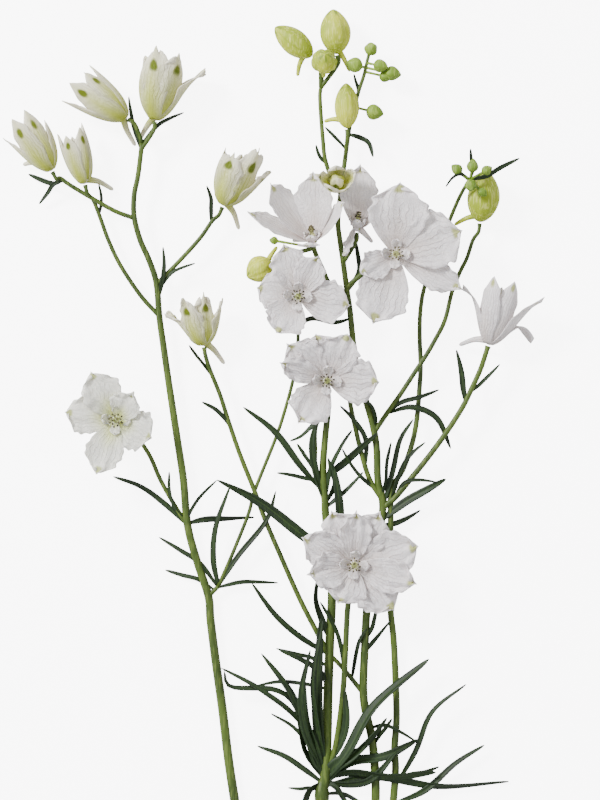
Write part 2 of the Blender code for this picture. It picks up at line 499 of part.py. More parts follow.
def mended(mesh):
    """Close a mesh again where the union or the collapse left an edge without two faces."""
    bm = bmesh.new()
    bm.from_mesh(mesh)
    bmesh.ops.remove_doubles(bm, verts=bm.verts, dist=0.00001)
    for _turn in range(8):
        bad = [e for e in bm.edges if len(e.link_faces) != 2]
        if not bad:
            break
        bmesh.ops.collapse(bm, edges=bad)
        seen = {}
        for f in bm.faces:
            seen.setdefault(frozenset(f.verts), []).append(f)
        twins = [f for group in seen.values() if len(group) > 1 for f in group]
        bmesh.ops.delete(bm, geom=twins, context="FACES")
        bmesh.ops.dissolve_degenerate(bm, edges=bm.edges, dist=0.0000005)
        loose = [e for e in bm.edges if not e.link_faces]
        bmesh.ops.delete(bm, geom=loose, context="EDGES")
        lone = [v for v in bm.verts if not v.link_faces]
        bmesh.ops.delete(bm, geom=lone, context="VERTS")
        bmesh.ops.holes_fill(bm, edges=[e for e in bm.edges if len(e.link_faces) == 1], sides=8)
        bmesh.ops.triangulate(bm, faces=bm.faces)
    seen = set()
    crumbs = []
    for f in bm.faces:
        if f in seen:
            continue
        group = {f}
        rim = [f]
        while rim:
            near = {g for h in rim for e in h.edges for g in e.link_faces}
            rim = list(near - group)
            group.update(rim)
        seen |= group
        if len(group) < CRUMB:
            crumbs += list(group)
    bmesh.ops.delete(bm, geom=crumbs, context="FACES")
    lone = [v for v in bm.verts if not v.link_faces]
    bmesh.ops.delete(bm, geom=lone, context="VERTS")
    bmesh.ops.recalc_face_normals(bm, faces=bm.faces)
    bm.to_mesh(mesh)
    bm.free()


def kept_close(mesh, before):
    """Put each vertex that strayed in the collapse back on the surface it came from."""
    surface = BVHTree.FromPolygons([v.co for v in before.vertices],
                                   [p.vertices for p in before.polygons])
    for v in mesh.vertices:
        spot, _normal, _index, far = surface.find_nearest(v.co)
        if far > STRAY:
            v.co = spot


def fuse(name, pieces, parts, material, faces):
    """One solid from overlapping pieces, by one Boolean union on their collection.

    The union's slivers are collapsed until about the given number of triangles is left.
    """
    repeats = bpy.data.collections.new(name + "_repeats")
    bpy.context.scene.collection.children.link(repeats)
    first = pieces[0]
    for ob in pieces[1:]:
        for c in list(ob.users_collection):
            c.objects.unlink(ob)
        repeats.objects.link(ob)
    union = first.modifiers.new("union", "BOOLEAN")
    union.operation = "UNION"
    union.operand_type = "COLLECTION"
    union.collection = repeats
    union.solver = "MANIFOLD"
    graph = bpy.context.evaluated_depsgraph_get()
    mesh = bpy.data.meshes.new_from_object(first.evaluated_get(graph))
    for ob in pieces:
        bpy.data.objects.remove(ob)
    bpy.data.collections.remove(repeats)
    body = new_object(name, mesh, parts, material)
    mesh.calc_loop_triangles()
    collapse = body.modifiers.new("collapse", "DECIMATE")
    collapse.ratio = min(1.0, faces / len(mesh.loop_triangles))
    collapse.use_collapse_triangulate = True
    graph = bpy.context.evaluated_depsgraph_get()
    light = bpy.data.meshes.new_from_object(body.evaluated_get(graph))
    body.modifiers.remove(collapse)
    body.data = light
    light.name = name
    kept_close(light, mesh)
    mended(light)
    return body


def main():
    """Build every piece of the stalk, its leaves, buds and blooms."""
    for ob in list(bpy.data.objects):
        bpy.data.objects.remove(ob)
    parts = bpy.data.collections.new("delphinium")
    work = bpy.data.collections.new("work")
    for c in (parts, work):
        bpy.context.scene.collection.children.link(c)
    white = surface_material("sepal_white", WHITE, 0.55)
    cream = surface_material("half_open_cream", CREAM, 0.55)
    green_bud = surface_material("bud_yellow_green", BUD_GREEN, 0.5)
    leafy = surface_material("leaf_green", LEAF_GREEN, 0.5)
    dark = surface_material("anther_dark", ANTHER, 0.6)

    # Where each bloom, half-open bloom and bud takes its stalk end: point and direction
    seats = {}
    for name, (carrier, spot, axis, _spur, _tips) in BLOOMS.items():
        seats.setdefault(carrier, []).append((sheet(*spot) - heading(*axis) * DISH_DEPTH,
                                              heading(*axis)))
    for name, (carrier, spot, axis, _wide, _length, _spur, _tips) in CUPS.items():
        seats.setdefault(carrier, []).append((sheet(*spot), heading(*axis)))
    for name, (carrier, spot, tip, _width, _spur) in BUDS.items():
        seats.setdefault(carrier, []).append((sheet(*spot), (sheet(*tip) - sheet(*spot)).normalized()))

    # Stalks, each from its carrier's centreline
    green = []
    routes = {}
    for name, carrier, thick, thin, points in STALKS:
        pts = [sheet(*p) for p in points]
        if carrier:
            pts[0] = nearest_on(routes[carrier], pts[0])
        if name == "strand_left":
            pts[-1] = nearest_on(routes["main"], pts[-1])
        if name == "strand_right":
            pts[-1] = nearest_on(routes["spike"], pts[-1])
        if name == "strand_low":
            pts[-1] = nearest_on(routes["main"], pts[-1])
        ends = seats.get(name, [])
        far = [s for s in ends if (s[0] - pts[-1]).length < 0.034]
        carried = far[0] if name not in ("branch_d", "spike", "left") and far else None
        if carried:
            seat, direction = carried
            pts += [seat - direction * NECK, seat - direction * GAP]
        route = smooth_route(pts)
        routes[name] = route
        green.append(tube(name, thinned(route, 0.00022), thick * MM / 2, thin * MM / 2, work))
        for seat, direction in ends:
            if carried and seat is carried[0]:
                continue
            start = nearest_on(route, seat - direction * 0.012)
            stub = smooth_route([start, seat - direction * NECK, seat - direction * GAP])
            green.append(tube(name + "_stub", thinned(stub, 0.0002), 0.0009, 0.0009, work))

    # Leaf lobes and bracts
    for i, (carrier, width, mid, end, points) in enumerate(LEAVES):
        first = nearest_on(routes[carrier], sheet(*points[0], mid))
        pts = [first]
        for k, (x, y) in enumerate(points[1:], start=1):
            f = k / (len(points) - 1)
            z = mid + (end - mid) * (f - 0.5) * 2 if f > 0.5 else None
            if z is None:
                z = first.z / MM + (mid - first.z / MM) * f * 2
            pts.append(sheet(x, y, z))
        green.append(leaf("leaf_%02d" % i, pts, width, work, 0.5 * math.sin(2.3 * i)))

    # Swollen node where the leaves spring from the main stalk, flat where it rests
    knuckle = turned("knuckle", Vector((0, -0.006, KNUCKLE_HEIGHT)), Vector((0, 0.008, KNUCKLE_HEIGHT)),
                     lambda t: KNUCKLE * math.sin(math.pi * t) ** 0.5, work, 8, 12)
    for v in knuckle.data.vertices:
        v.co.z = max(0.0, v.co.z)
    green.append(knuckle)

    # Young buds on short stalks
    for i, (carrier, spot, width) in enumerate(YOUNG_BUDS):
        middle = sheet(*spot)
        root = nearest_on(routes[carrier], middle)
        way = middle - root
        if way.length < 0.001:
            way = heading(90, 20) * 0.001
        tip = middle + way.normalized() * width * MM * 0.62
        base = middle - way.normalized() * width * MM * 0.5
        bud = turned("young_%02d" % i, base, tip,
                     lambda t, w=width: w * MM / 2 * math.sin(math.pi * t ** 0.8) ** 0.7,
                     work, 5, 7)
        green.append(bud)
        if way.length > width * MM * 0.4:
            green.append(tube("young_stalk_%02d" % i, [root, middle], 0.0006, 0.0006, work, 0))
    fuse("leafy_stem", green, parts, leafy, 7600)

    # Open blooms
    for name, (carrier, spot, axis, spur, tips) in BLOOMS.items():
        centre, up = sheet(*spot), heading(*axis)
        pieces = [turned(name + "_dish", centre - up * DISH_DEPTH, centre + up * 0.0014,
                         lambda t: DISH_RADIUS * math.sin(math.pi * t) ** 0.4, work, 6, 8)]
        for k, (x, y, z, width, bow) in enumerate(tips):
            pieces.append(sepal(name + "_sepal", centre, up, sheet(x, y, z), width, bow, work,
                                across=3 if width > 15 else 2, ruffle=0.5))
        for k in range(4):
            ring = (up.orthogonal().normalized())
            around = up.cross(ring)
            a = math.radians(40 + 90 * k)
            way = ring * math.cos(a) + around * math.sin(a)
            reach = 0.0060 if axis[1] > 60 else 0.0032
            tip = centre + way * reach + up * 0.0042
            pieces.append(sepal(name + "_petal", centre, up, tip, 4.2, 0.6, work, along=2,
                                foot=0.0008))
        back = heading(spur[0])
        first = centre + back * 0.0012 + up * (0.0 if axis[1] > 45 else 0.0008)
        end = centre + back * spur[1] * MM
        end.z = max(1.3 * MM, centre.z - 0.55 * spur[1] * MM)
        bend = first.lerp(end, 0.5)
        bend.z += 0.0012
        pieces.append(tube(name + "_spur", thinned(smooth_route([first, bend, end], 4), 0.0002),
                           0.0014, 0.0007, work))
        fuse(name, pieces, parts, white, 60 + 80 * (len(tips) + 1))
        heart = [turned(name + "_heart_dome", centre + up * 0.0019, centre + up * 0.0034,
                        lambda t: 0.00135 * math.sin(math.pi * t) ** 0.5, work, 4, 6)]
        ring = up.orthogonal().normalized()
        around = up.cross(ring)
        for k in range(6):
            a = 2 * math.pi * k / 6 + 0.3
            way = ring * math.cos(a) + around * math.sin(a)
            foot = centre + up * 0.0026 + way * 0.0004
            spread = (0.0018 + 0.0007 * (k % 2)) * (1.0 if axis[1] > 60 else 0.35)
            top = centre + up * (0.0062 + 0.0006 * (k % 3)) + way * spread
            heart.append(tube(name + "_anther", [foot, top], 0.00035, 0.0006, work, 0))
        fuse(name + "_heart", heart, parts, dark, 150)

    # Half-open blooms
    for name, (carrier, spot, axis, wide, length, spur, tips) in CUPS.items():
        centre, up = sheet(*spot), heading(*axis)
        pieces = [turned(name + "_dish", centre, centre + up * 0.0042,
                         lambda t: 0.0026 * math.sin(math.pi * t) ** 0.5, work, 5, 8)]
        for k, tip in enumerate(tips):
            pieces.append(cup_sepal(name + "_sepal", centre, up, wide, length, tip, k % 2, work))
        pieces.append(turned(name + "_folded", centre + up * 0.001, centre + up * length * 0.8 * MM,
                             lambda t: wide * 0.5 * MM * math.sin(math.pi * t ** 0.85) ** 0.8,
                             work, 6, 8, 4, 0.25))
        back = heading(spur)
        first = centre + up * 0.0022 + back * 0.0010
        end = first + back * 0.0105 - up * 0.001
        end.z = max(1.6 * MM, centre.z - 7.2 * MM)
        pieces.append(tube(name + "_spur", thinned(smooth_route(
            [first, first.lerp(end, 0.5) + up * 0.0012, end], 4), 0.0002), 0.0015, 0.0008, work))
        fuse(name, pieces, parts, white if name.startswith("bloom") else cream,
             90 * len(tips) + 20)

    # Closed buds
    for name, (carrier, spot, tip, width, spur) in BUDS.items():
        base, end = sheet(*spot), sheet(*tip)
        up = (end - base).normalized()
        half = width * MM / 2
        pieces = [turned(name + "_body", base, end,
                         lambda t: half * math.sin(math.pi * t ** 0.9) ** 0.62, work, 8, 10,
                         5, 0.10)]
        back = heading(spur[0])
        first = base + up * 0.003
        last = first + back * spur[1] * MM
        last.z = max(0.0013, base.z - spur[2] * MM)
        pieces.append(tube(name + "_spur", [first, first.lerp(last, 0.55) + up * 0.0008, last],
                           0.0013, 0.0007, work))
        fuse(name, pieces, parts, green_bud, 170)

    for ob in parts.objects:
        ob.data.shade_smooth()
        ob.data.set_sharp_from_angle(angle=math.radians(50))
    bpy.data.collections.remove(work)


main()
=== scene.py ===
"""Look of a cut delphinium laid on a pale table, seen from straight above.

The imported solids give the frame. This file replaces them with fine stalks, leaves, buds and
blooms on the same routes, and dresses them in materials made of nodes. Lengths are in metres.
"""

import logging  # noqa: E402
import math  # noqa: E402
from dataclasses import dataclass, field  # noqa: E402
from enum import Enum  # noqa: E402
from typing import Callable  # noqa: E402

import bmesh  # noqa: E402
import bpy  # noqa: E402
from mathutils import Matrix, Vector, noise  # noqa: E402


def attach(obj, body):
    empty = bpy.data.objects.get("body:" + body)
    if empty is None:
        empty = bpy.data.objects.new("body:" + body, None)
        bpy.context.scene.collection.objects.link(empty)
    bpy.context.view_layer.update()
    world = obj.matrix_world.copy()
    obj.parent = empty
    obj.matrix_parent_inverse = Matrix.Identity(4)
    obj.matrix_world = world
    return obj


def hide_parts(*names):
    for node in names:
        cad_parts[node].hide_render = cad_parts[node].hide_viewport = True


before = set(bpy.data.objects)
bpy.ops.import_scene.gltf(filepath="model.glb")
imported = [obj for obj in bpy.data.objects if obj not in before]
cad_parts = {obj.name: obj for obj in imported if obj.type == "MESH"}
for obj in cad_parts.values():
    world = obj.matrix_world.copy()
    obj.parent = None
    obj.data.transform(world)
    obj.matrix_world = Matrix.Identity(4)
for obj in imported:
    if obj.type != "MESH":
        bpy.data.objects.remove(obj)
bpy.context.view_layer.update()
log = logging.getLogger("delphinium")

GRID = 0.0004              # one unit of the drawing sheet
SHEET_ORIGIN = (322, 800)  # sheet point over the part's origin
MM = 0.001
GAP = 0.0005               # clearance between a bloom and the stalk end that carries it
NECK = 0.004               # last stretch of stalk that runs straight into a bloom
DISH_DEPTH = 0.0012        # how far an open bloom's receptacle stands below its middle
SEPAL_THICK = 0.00028
MERGE = 0.000002           # points of a stalk nearer than this become one
GOLDEN_ANGLE = 2.399963    # turn from one stamen to the next, in radians
VEINS = 9.0                # veins across a sepal
TURN = 6.28318             # one wave for each unit, in radians
SPOT_WAVES = 31.416        # five tip spots round a bud
SEAM_WAVES = 94.248        # fifteen seams round it
TIP_SPOT = (0.13, 0.20, 0.01)
BODY = "root"

Place = Callable[[float, float], Vector]


class Slot(Enum):
    """Material slots of the record."""

    LEAF = "leaf_green"
    WHITE = "petal_white"
    CREAM = "petal_cream"
    BUD = "bud_green"
    ANTHER = "anther_dark"


def sheet(x: float, y: float, height: float = 0.0) -> Vector:
    """Point for a drawing point and a height in millimetres."""
    return Vector(((x - SHEET_ORIGIN[0]) * GRID, (SHEET_ORIGIN[1] - y) * GRID, height * MM))


def heading(degrees: float, up: float = 0.0) -> Vector:
    """Unit direction from an angle on the sheet and an angle above it."""
    a, b = math.radians(degrees), math.radians(up)
    return Vector((math.cos(a) * math.cos(b), math.sin(a) * math.cos(b), math.sin(b)))


def smooth_route(points: list[Vector], per_span: int = 6) -> list[Vector]:
    """Points along a smooth curve through the given ones.

    Args:
        points: the places the curve passes.
        per_span: steps between two of them.

    Returns:
        The curve's points, ends included.
    """
    if len(points) < 3:
        return [p.copy() for p in points]
    ends = [points[0] * 2 - points[1]] + list(points) + [points[-1] * 2 - points[-2]]
    out = []
    for i in range(1, len(ends) - 2):
        a, b, c, d = ends[i - 1], ends[i], ends[i + 1], ends[i + 2]
        for k in range(per_span):
            t = k / per_span
            out.append(0.5 * (2 * b + (c - a) * t + (2 * a - 5 * b + 4 * c - d) * t * t
                              + (3 * b - a - 3 * c + d) * t ** 3))
    out.append(points[-1].copy())
    return out


def at_fraction(route: list[Vector], f: float) -> Vector:
    """Point at a fraction of a route's length."""
    spans = [(b - a).length for a, b in zip(route, route[1:])]
    left = max(0.0, min(1.0, f)) * sum(spans)
    for i, span in enumerate(spans):
        if left <= span or i == len(spans) - 1:
            return route[i].lerp(route[i + 1], min(1.0, left / max(span, 1e-9)))
        left -= span
    return route[-1].copy()


def nearest_on(route: list[Vector], point: Vector) -> Vector:
    """Nearest point to the given one on a route's centreline."""
    best, found = 1e9, route[0]
    for a, b in zip(route, route[1:]):
        ab = b - a
        t = max(0.0, min(1.0, (point - a).dot(ab) / max(ab.length_squared, 1e-12)))
        q = a + ab * t
        if (q - point).length < best:
            best, found = (q - point).length, q
    return found


def outline(u: float, root: float, widest: float, tip: float) -> float:
    """Share of the full width at u, from the root's share to the tip's."""
    if u <= widest:
        return root + (1 - root) * math.sin(math.pi / 2 * u / widest)
    return tip + (1 - tip) * math.sqrt(max(0.0, 1 - ((u - widest) / (1 - widest)) ** 2))


def deselect() -> None:
    """Leave nothing selected."""
    for ob in bpy.context.selected_objects:
        ob.select_set(False)


def take_active(name: str) -> bpy.types.Object:
    """The object an operator has just made, under a new name."""
    ob = bpy.context.active_object
    ob.name = name
    ob.data.name = name
    return ob


def apply_modifiers(ob: bpy.types.Object) -> None:
    """Apply all of an object's modifiers, in order."""
    deselect()
    ob.select_set(True)
    bpy.context.view_layer.objects.active = ob
    for mod in list(ob.modifiers):
        bpy.ops.object.modifier_apply(modifier=mod.name)


def joined(name: str, pieces: list[bpy.types.Object]) -> bpy.types.Object:
    """One object from several, smooth shaded, with its place in its mesh."""
    deselect()
    for ob in pieces:
        ob.select_set(True)
    bpy.context.view_layer.objects.active = pieces[0]
    if len(pieces) > 1:
        bpy.ops.object.join()
    bpy.ops.object.transform_apply(location=True, rotation=True, scale=True)
    bpy.ops.object.shade_smooth()
    return take_active(name)


def finished(name: str, pieces: list[bpy.types.Object], finish: bpy.types.Material
             ) -> bpy.types.Object:
    """One object from several, all in one material."""
    piece = joined(name, pieces)
    piece.data.materials.clear()
    piece.data.materials.append(finish)
    return piece


def seated(piece: bpy.types.Object, node: str) -> bpy.types.Object:
    """Let a piece ride the part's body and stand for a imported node."""
    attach(piece, BODY)
    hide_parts(node)
    return piece


def is_white(name: str) -> bool:
    """Whether a bloom is white all over, as opposed to cream."""
    return name.startswith("bloom")


def one_side(v: float, shift: float) -> float:
    """Phase shift on one side of a blade only, so that its two edges differ."""
    return shift if v > 0 else 0.0


def sheet_blade(name: str, along: int, across: int, place: Place, thick: float,
                edge: float = 1.0) -> bpy.types.Object:
    """Thin closed blade shaped from a flat grid.

    Args:
        name: the object's name.
        along: cells from root to tip.
        across: cells from side to side.
        place: middle surface, for u from 0 to 1 along and v from -1 to 1 across.
        thick: thickness in metres.
        edge: how far the cells crowd towards the tip, 1 for evenly.

    Returns:
        The blade, with its own UV map: U along, V across.
    """
    deselect()
    bpy.ops.mesh.primitive_grid_add(x_subdivisions=along, y_subdivisions=across, size=2)
    ob = take_active(name)
    for v in ob.data.vertices:
        u = 1 - (1 - (v.co.x + 1) / 2) ** edge
        spot = place(u, v.co.y)
        spot.z = max(spot.z, 1.5 * thick)
        v.co = spot
    ob.location = (0, 0, 0)
    wall = ob.modifiers.new("wall", "SOLIDIFY")
    wall.thickness = thick
    wall.offset = 0.0
    apply_modifiers(ob)
    return ob


def ball(name: str, base: Vector, tip: Vector, radius_at: Callable[[float, float], float],
         rings: int, sides: int) -> bpy.types.Object:
    """Closed turned body about the line from base to tip.

    Args:
        name: the object's name.
        base: the lower pole.
        tip: the upper pole.
        radius_at: radius for a share of the height and an angle.
        rings: rings from pole to pole.
        sides: faces round.

    Returns:
        The body, with U round it and V along it.
    """
    deselect()
    bpy.ops.mesh.primitive_uv_sphere_add(segments=sides, ring_count=rings, radius=1.0)
    ob = take_active(name)
    axis = tip - base
    turn = axis.to_track_quat("Z", "Y")
    for v in ob.data.vertices:
        t = (max(-1.0, min(1.0, v.co.z)) + 1) / 2
        angle = math.atan2(v.co.y, v.co.x)
        pole = t < 1e-6 or t > 1 - 1e-6
        r = 0.0 if pole else radius_at(t, angle)
        v.co = base + axis * t + turn @ Vector((r * math.cos(angle), r * math.sin(angle), 0))
    return ob


def tube(name: str, points: list[Vector], radii: list[float], sides: int = 3) -> bpy.types.Object:
    """Round closed stalk through the points.

    Args:
        name: the object's name.
        points: the centreline.
        radii: radius at each point.
        sides: bevel steps; the stalk has 4 + 2 * sides faces round.

    Returns:
        The stalk as a mesh.
    """
    curve = bpy.data.curves.new(name, "CURVE")
    curve.dimensions = "3D"
    curve.bevel_depth = 1.0
    curve.bevel_resolution = sides
    curve.use_fill_caps = True
    spline = curve.splines.new("POLY")
    spline.points.add(len(points) - 1)
    for i, p in enumerate(points):
        spline.points[i].co = (*p, 1.0)
        spline.points[i].radius = radii[i]
    guide = bpy.data.objects.new(name + "_route", curve)
    bpy.context.scene.collection.objects.link(guide)
    mesh = bpy.data.meshes.new_from_object(
        guide.evaluated_get(bpy.context.evaluated_depsgraph_get()))
    bm = bmesh.new()
    bm.from_mesh(mesh)
    bmesh.ops.remove_doubles(bm, verts=bm.verts, dist=MERGE)
    bmesh.ops.recalc_face_normals(bm, faces=bm.faces)
    bm.to_mesh(mesh)
    bm.free()
    bpy.data.objects.remove(guide)
    ob = bpy.data.objects.new(name, mesh)
    bpy.context.scene.collection.objects.link(ob)
    return ob


def taper(points: list[Vector], first: float, last: float) -> list[float]:
    """Radii running evenly from the first point to the last."""
    n = max(1, len(points) - 1)
    return [first + (last - first) * i / n for i in range(len(points))]


# Stalks: name, carrier, first and last thickness in mm, points (x, y, height in mm)
STALKS = [
    ("main", None, 5.2, 2.2, [
        (312, 1212, 2.6), (311, 1100, 2.5), (312, 1000, 2.4), (314, 930, 2.3), (318, 860, 2.2),
        (322, 800, 2.1), (325, 780, 2.2), (327, 740, 2.5), (328, 700, 2.9), (330, 640, 3.6),
        (332, 600, 4.0), (331, 560, 4.3), (326, 518, 4.8), (325, 500, 5.0), (323, 470, 5.4),
        (325, 440, 5.9), (328, 408, 6.6)]),
    ("spike", "main", 3.8, 1.3, [
        (321, 960, 2.3), (350, 905, 2.2), (370, 840, 2.2), (376, 800, 2.2), (373, 745, 2.4),
        (364, 700, 2.8), (365, 650, 3.4), (368, 600, 4.0), (376, 555, 4.3), (383, 508, 4.6),
        (378, 480, 4.8), (377, 450, 5.0), (373, 425, 5.2), (365, 397, 5.4), (356, 362, 5.6),
        (353, 340, 5.7), (350, 310, 5.8), (347, 290, 5.9), (343, 260, 5.8), (340, 240, 5.6),
        (338, 220, 5.4), (341, 190, 5.2), (345, 160, 5.2), (347, 145, 5.4), (350, 125, 5.6),
        (355, 105, 5.9), (359, 90, 6.1), (364, 75, 6.4), (367, 62, 6.7), (370, 50, 7.0)]),
    ("left", "main", 4.2, 2.0, [
        (311, 1078, 2.4), (290, 1020, 2.2), (265, 950, 2.1), (245, 870, 2.0), (234, 800, 2.0),
        (228, 760, 2.0), (222, 710, 2.1), (215, 660, 2.2), (210, 620, 2.3), (208, 597, 2.5),
        (196, 560, 2.9), (187, 525, 3.2), (183, 480, 3.5), (177, 440, 3.8), (171, 400, 4.2),
        (168, 380, 4.4), (163, 345, 4.9), (159, 316, 5.2), (156, 282, 5.6), (148, 258, 5.9),
        (140, 240, 6.2), (134, 217, 6.5), (134, 195, 6.8), (138, 175, 7.2), (142, 143, 7.8)]),
    ("right", "main", 3.4, 1.4, [
        (317, 1030, 2.4), (345, 980, 2.1), (370, 920, 2.0), (388, 850, 2.0), (394, 800, 2.0),
        (396, 770, 2.1), (395, 750, 2.1), (397, 720, 2.2), (396, 680, 2.4), (394, 640, 2.7),
        (391, 610, 3.0), (391, 560, 3.5), (391, 520, 4.0), (392, 490, 4.6), (403, 470, 5.0),
        (412, 445, 5.2), (417, 420, 5.2), (420, 385, 5.0), (421, 365, 4.8), (420, 335, 4.5),
        (421, 308, 4.2), (426, 283, 4.0), (441, 243, 5.0), (455, 207, 9.0), (463, 190, 13.6),
        (469, 181, 16.4)]),
    ("branch_b7", "spike", 2.5, 2.0, [
        (384, 508, 4.8), (395, 498, 5.4), (410, 480, 6.2), (430, 455, 7.2), (448, 430, 8.0),
        (462, 408, 8.6), (470, 392, 9.0), (480, 370, 9.4)]),
    ("branch_d6", "spike", 2.1, 1.5, [
        (375, 432, 5.2), (388, 412, 6.6), (400, 395, 7.6), (415, 372, 8.2), (425, 357, 8.4),
        (435, 340, 8.3), (445, 320, 8.0), (452, 292, 7.6), (460, 272, 7.4), (467, 258, 7.4),
        (473, 240, 7.6)]),
    ("branch_c6", "main", 2.2, 1.7, [
        (330, 657, 3.4), (318, 635, 3.8), (300, 600, 4.2), (280, 555, 4.4), (265, 520, 4.6),
        (254, 490, 4.8), (240, 455, 5.2), (228, 420, 5.8), (220, 395, 6.4), (210, 370, 7.2)]),
    ("branch_b2", "main", 2.5, 2.2, [
        (328, 778, 2.2), (334, 755, 3.4), (340, 720, 5.2), (344, 680, 6.6), (346, 640, 7.4),
        (348, 605, 7.9)]),
    ("branch_side", "left", 2.0, 1.8, [(208, 597, 2.5), (213, 592, 3.0), (218, 587, 3.4)]),
    ("branch_b6", "branch_side", 1.6, 1.4, [
        (218, 587, 3.4), (232, 555, 4.0), (248, 515, 4.2), (255, 490, 4.4), (275, 440, 4.6),
        (285, 410, 4.8), (294, 375, 5.0), (298, 340, 5.6)]),
    ("branch_c3", "left", 1.9, 1.6, [
        (134, 218, 6.5), (115, 211, 6.8), (90, 197, 7.2), (70, 185, 7.6), (60, 178, 7.8)]),
    ("branch_c4", "left", 1.9, 1.6, [
        (158, 316, 5.2), (140, 295, 5.0), (120, 265, 4.8), (108, 240, 4.6), (100, 218, 4.8),
        (93, 200, 5.4)]),
    ("branch_c5", "left", 1.9, 1.6, [
        (156, 284, 5.6), (180, 260, 6.2), (200, 238, 6.8), (212, 221, 7.2)]),
    ("branch_b1", "left", 1.9, 1.7, [
        (187, 526, 3.2), (175, 507, 3.8), (160, 480, 4.6), (149, 455, 5.4), (134, 434, 6.2)]),
    ("branch_b5", "spike", 2.3, 1.9, [(348, 296, 5.9), (331, 286, 6.6), (322, 268, 7.4)]),
    ("branch_b4", "spike", 2.2, 2.0, [(347, 288, 5.9), (356, 279, 6.8), (372, 267, 7.8)]),
    ("branch_d", "spike", 1.9, 1.6, [
        (341, 192, 5.2), (331, 176, 5.6), (325, 158, 5.8), (323, 140, 5.8), (321, 115, 5.8),
        (320, 95, 5.8), (321, 87, 5.9)]),
    ("strand_left", "main", 2.0, 2.0, [
        (323, 502, 5.0), (316, 475, 5.2), (315, 450, 5.6), (316, 425, 6.2), (327, 409, 6.6)]),
    ("strand_right", "spike", 2.2, 1.8, [
        (381, 500, 4.6), (370, 480, 5.0), (362, 455, 5.4), (356, 430, 5.6), (350, 400, 5.6),
        (350, 365, 5.6), (353, 342, 5.7)]),
    ("strand_low", "spike", 2.0, 1.8, [
        (364, 695, 2.9), (352, 680, 3.0), (342, 668, 3.2), (330, 655, 3.4)]),
]

# Open blooms: carrier, centre (x, y, height), axis (degrees on the sheet, degrees up),
# spur (degrees on the sheet, length mm), sepals (x, y, height at the tip, width mm, bow mm)
BLOOMS = {
    "bloom_left": ("branch_b1", (117, 420, 11.5), (90, 90), (60, 13), [
        (93, 373, 18, 16, -1.2), (66, 412, 16, 15, -1.0), (98, 473, 17, 15, -1.5),
        (153, 438, 16, 17, -1.2), (134, 394, 19, 13, -1.0)]),
    "bloom_low": ("branch_b2", (354, 564, 13.0), (90, 90), (75, 13), [
        (303, 537, 18, 15, -1.0), (331, 510, 16, 16, -1.2), (379, 512, 17, 15, -1.2),
        (418, 545, 18, 19, -1.4), (393, 608, 15, 19, -1.4), (338, 602, 17, 18, -1.0),
        (309, 573, 19, 15, -1.0), (356, 510, 20, 13, -0.8), (414, 582, 20, 14, -0.8)]),
    "bloom_mid": ("main", (327, 381, 13.0), (90, 90), (100, 12), [
        (288, 345, 18, 16, -1.2), (316, 334, 16, 16, -1.2), (347, 335, 18, 15, -1.0),
        (379, 382, 17, 17, -1.5), (299, 422, 17, 16, -1.2), (280, 363, 20, 9, -0.8)]),
    "bloom_large": ("branch_b4", (395, 255, 15.5), (90, 90), (75, 14), [
        (399, 186, 21, 24, -1.6), (461, 232, 20, 23, -1.6), (460, 290, 18, 12, -1.2),
        (372, 325, 19, 21, -1.8), (360, 274, 21, 12, -0.8)]),
    "bloom_inner": ("branch_b6", (298, 297, 11.5), (90, 90), (180, 10), [
        (284, 246, 15, 15, -1.0), (257, 288, 14, 16, -1.0), (277, 333, 16, 17, -1.2),
        (350, 306, 15, 17, -1.2), (318, 258, 17, 13, -0.8)]),
    "bloom_upper": ("branch_b5", (313, 241, 11.0), (100, 32), (178, 8), [
        (249, 214, 18, 14, 1.0), (270, 184, 15, 15, 1.2), (313, 174, 12, 16, 1.2),
        (344, 203, 19, 13, 1.0), (306, 246, 20, 9, 1.4)]),
    "bloom_back": ("spike", (357, 229, 11.2), (85, 14), (-40, 8), [
        (360, 166, 10, 15, 1.0), (384, 196, 9, 13, 1.0), (344, 256, 11.0, 6, 0.2)]),
}

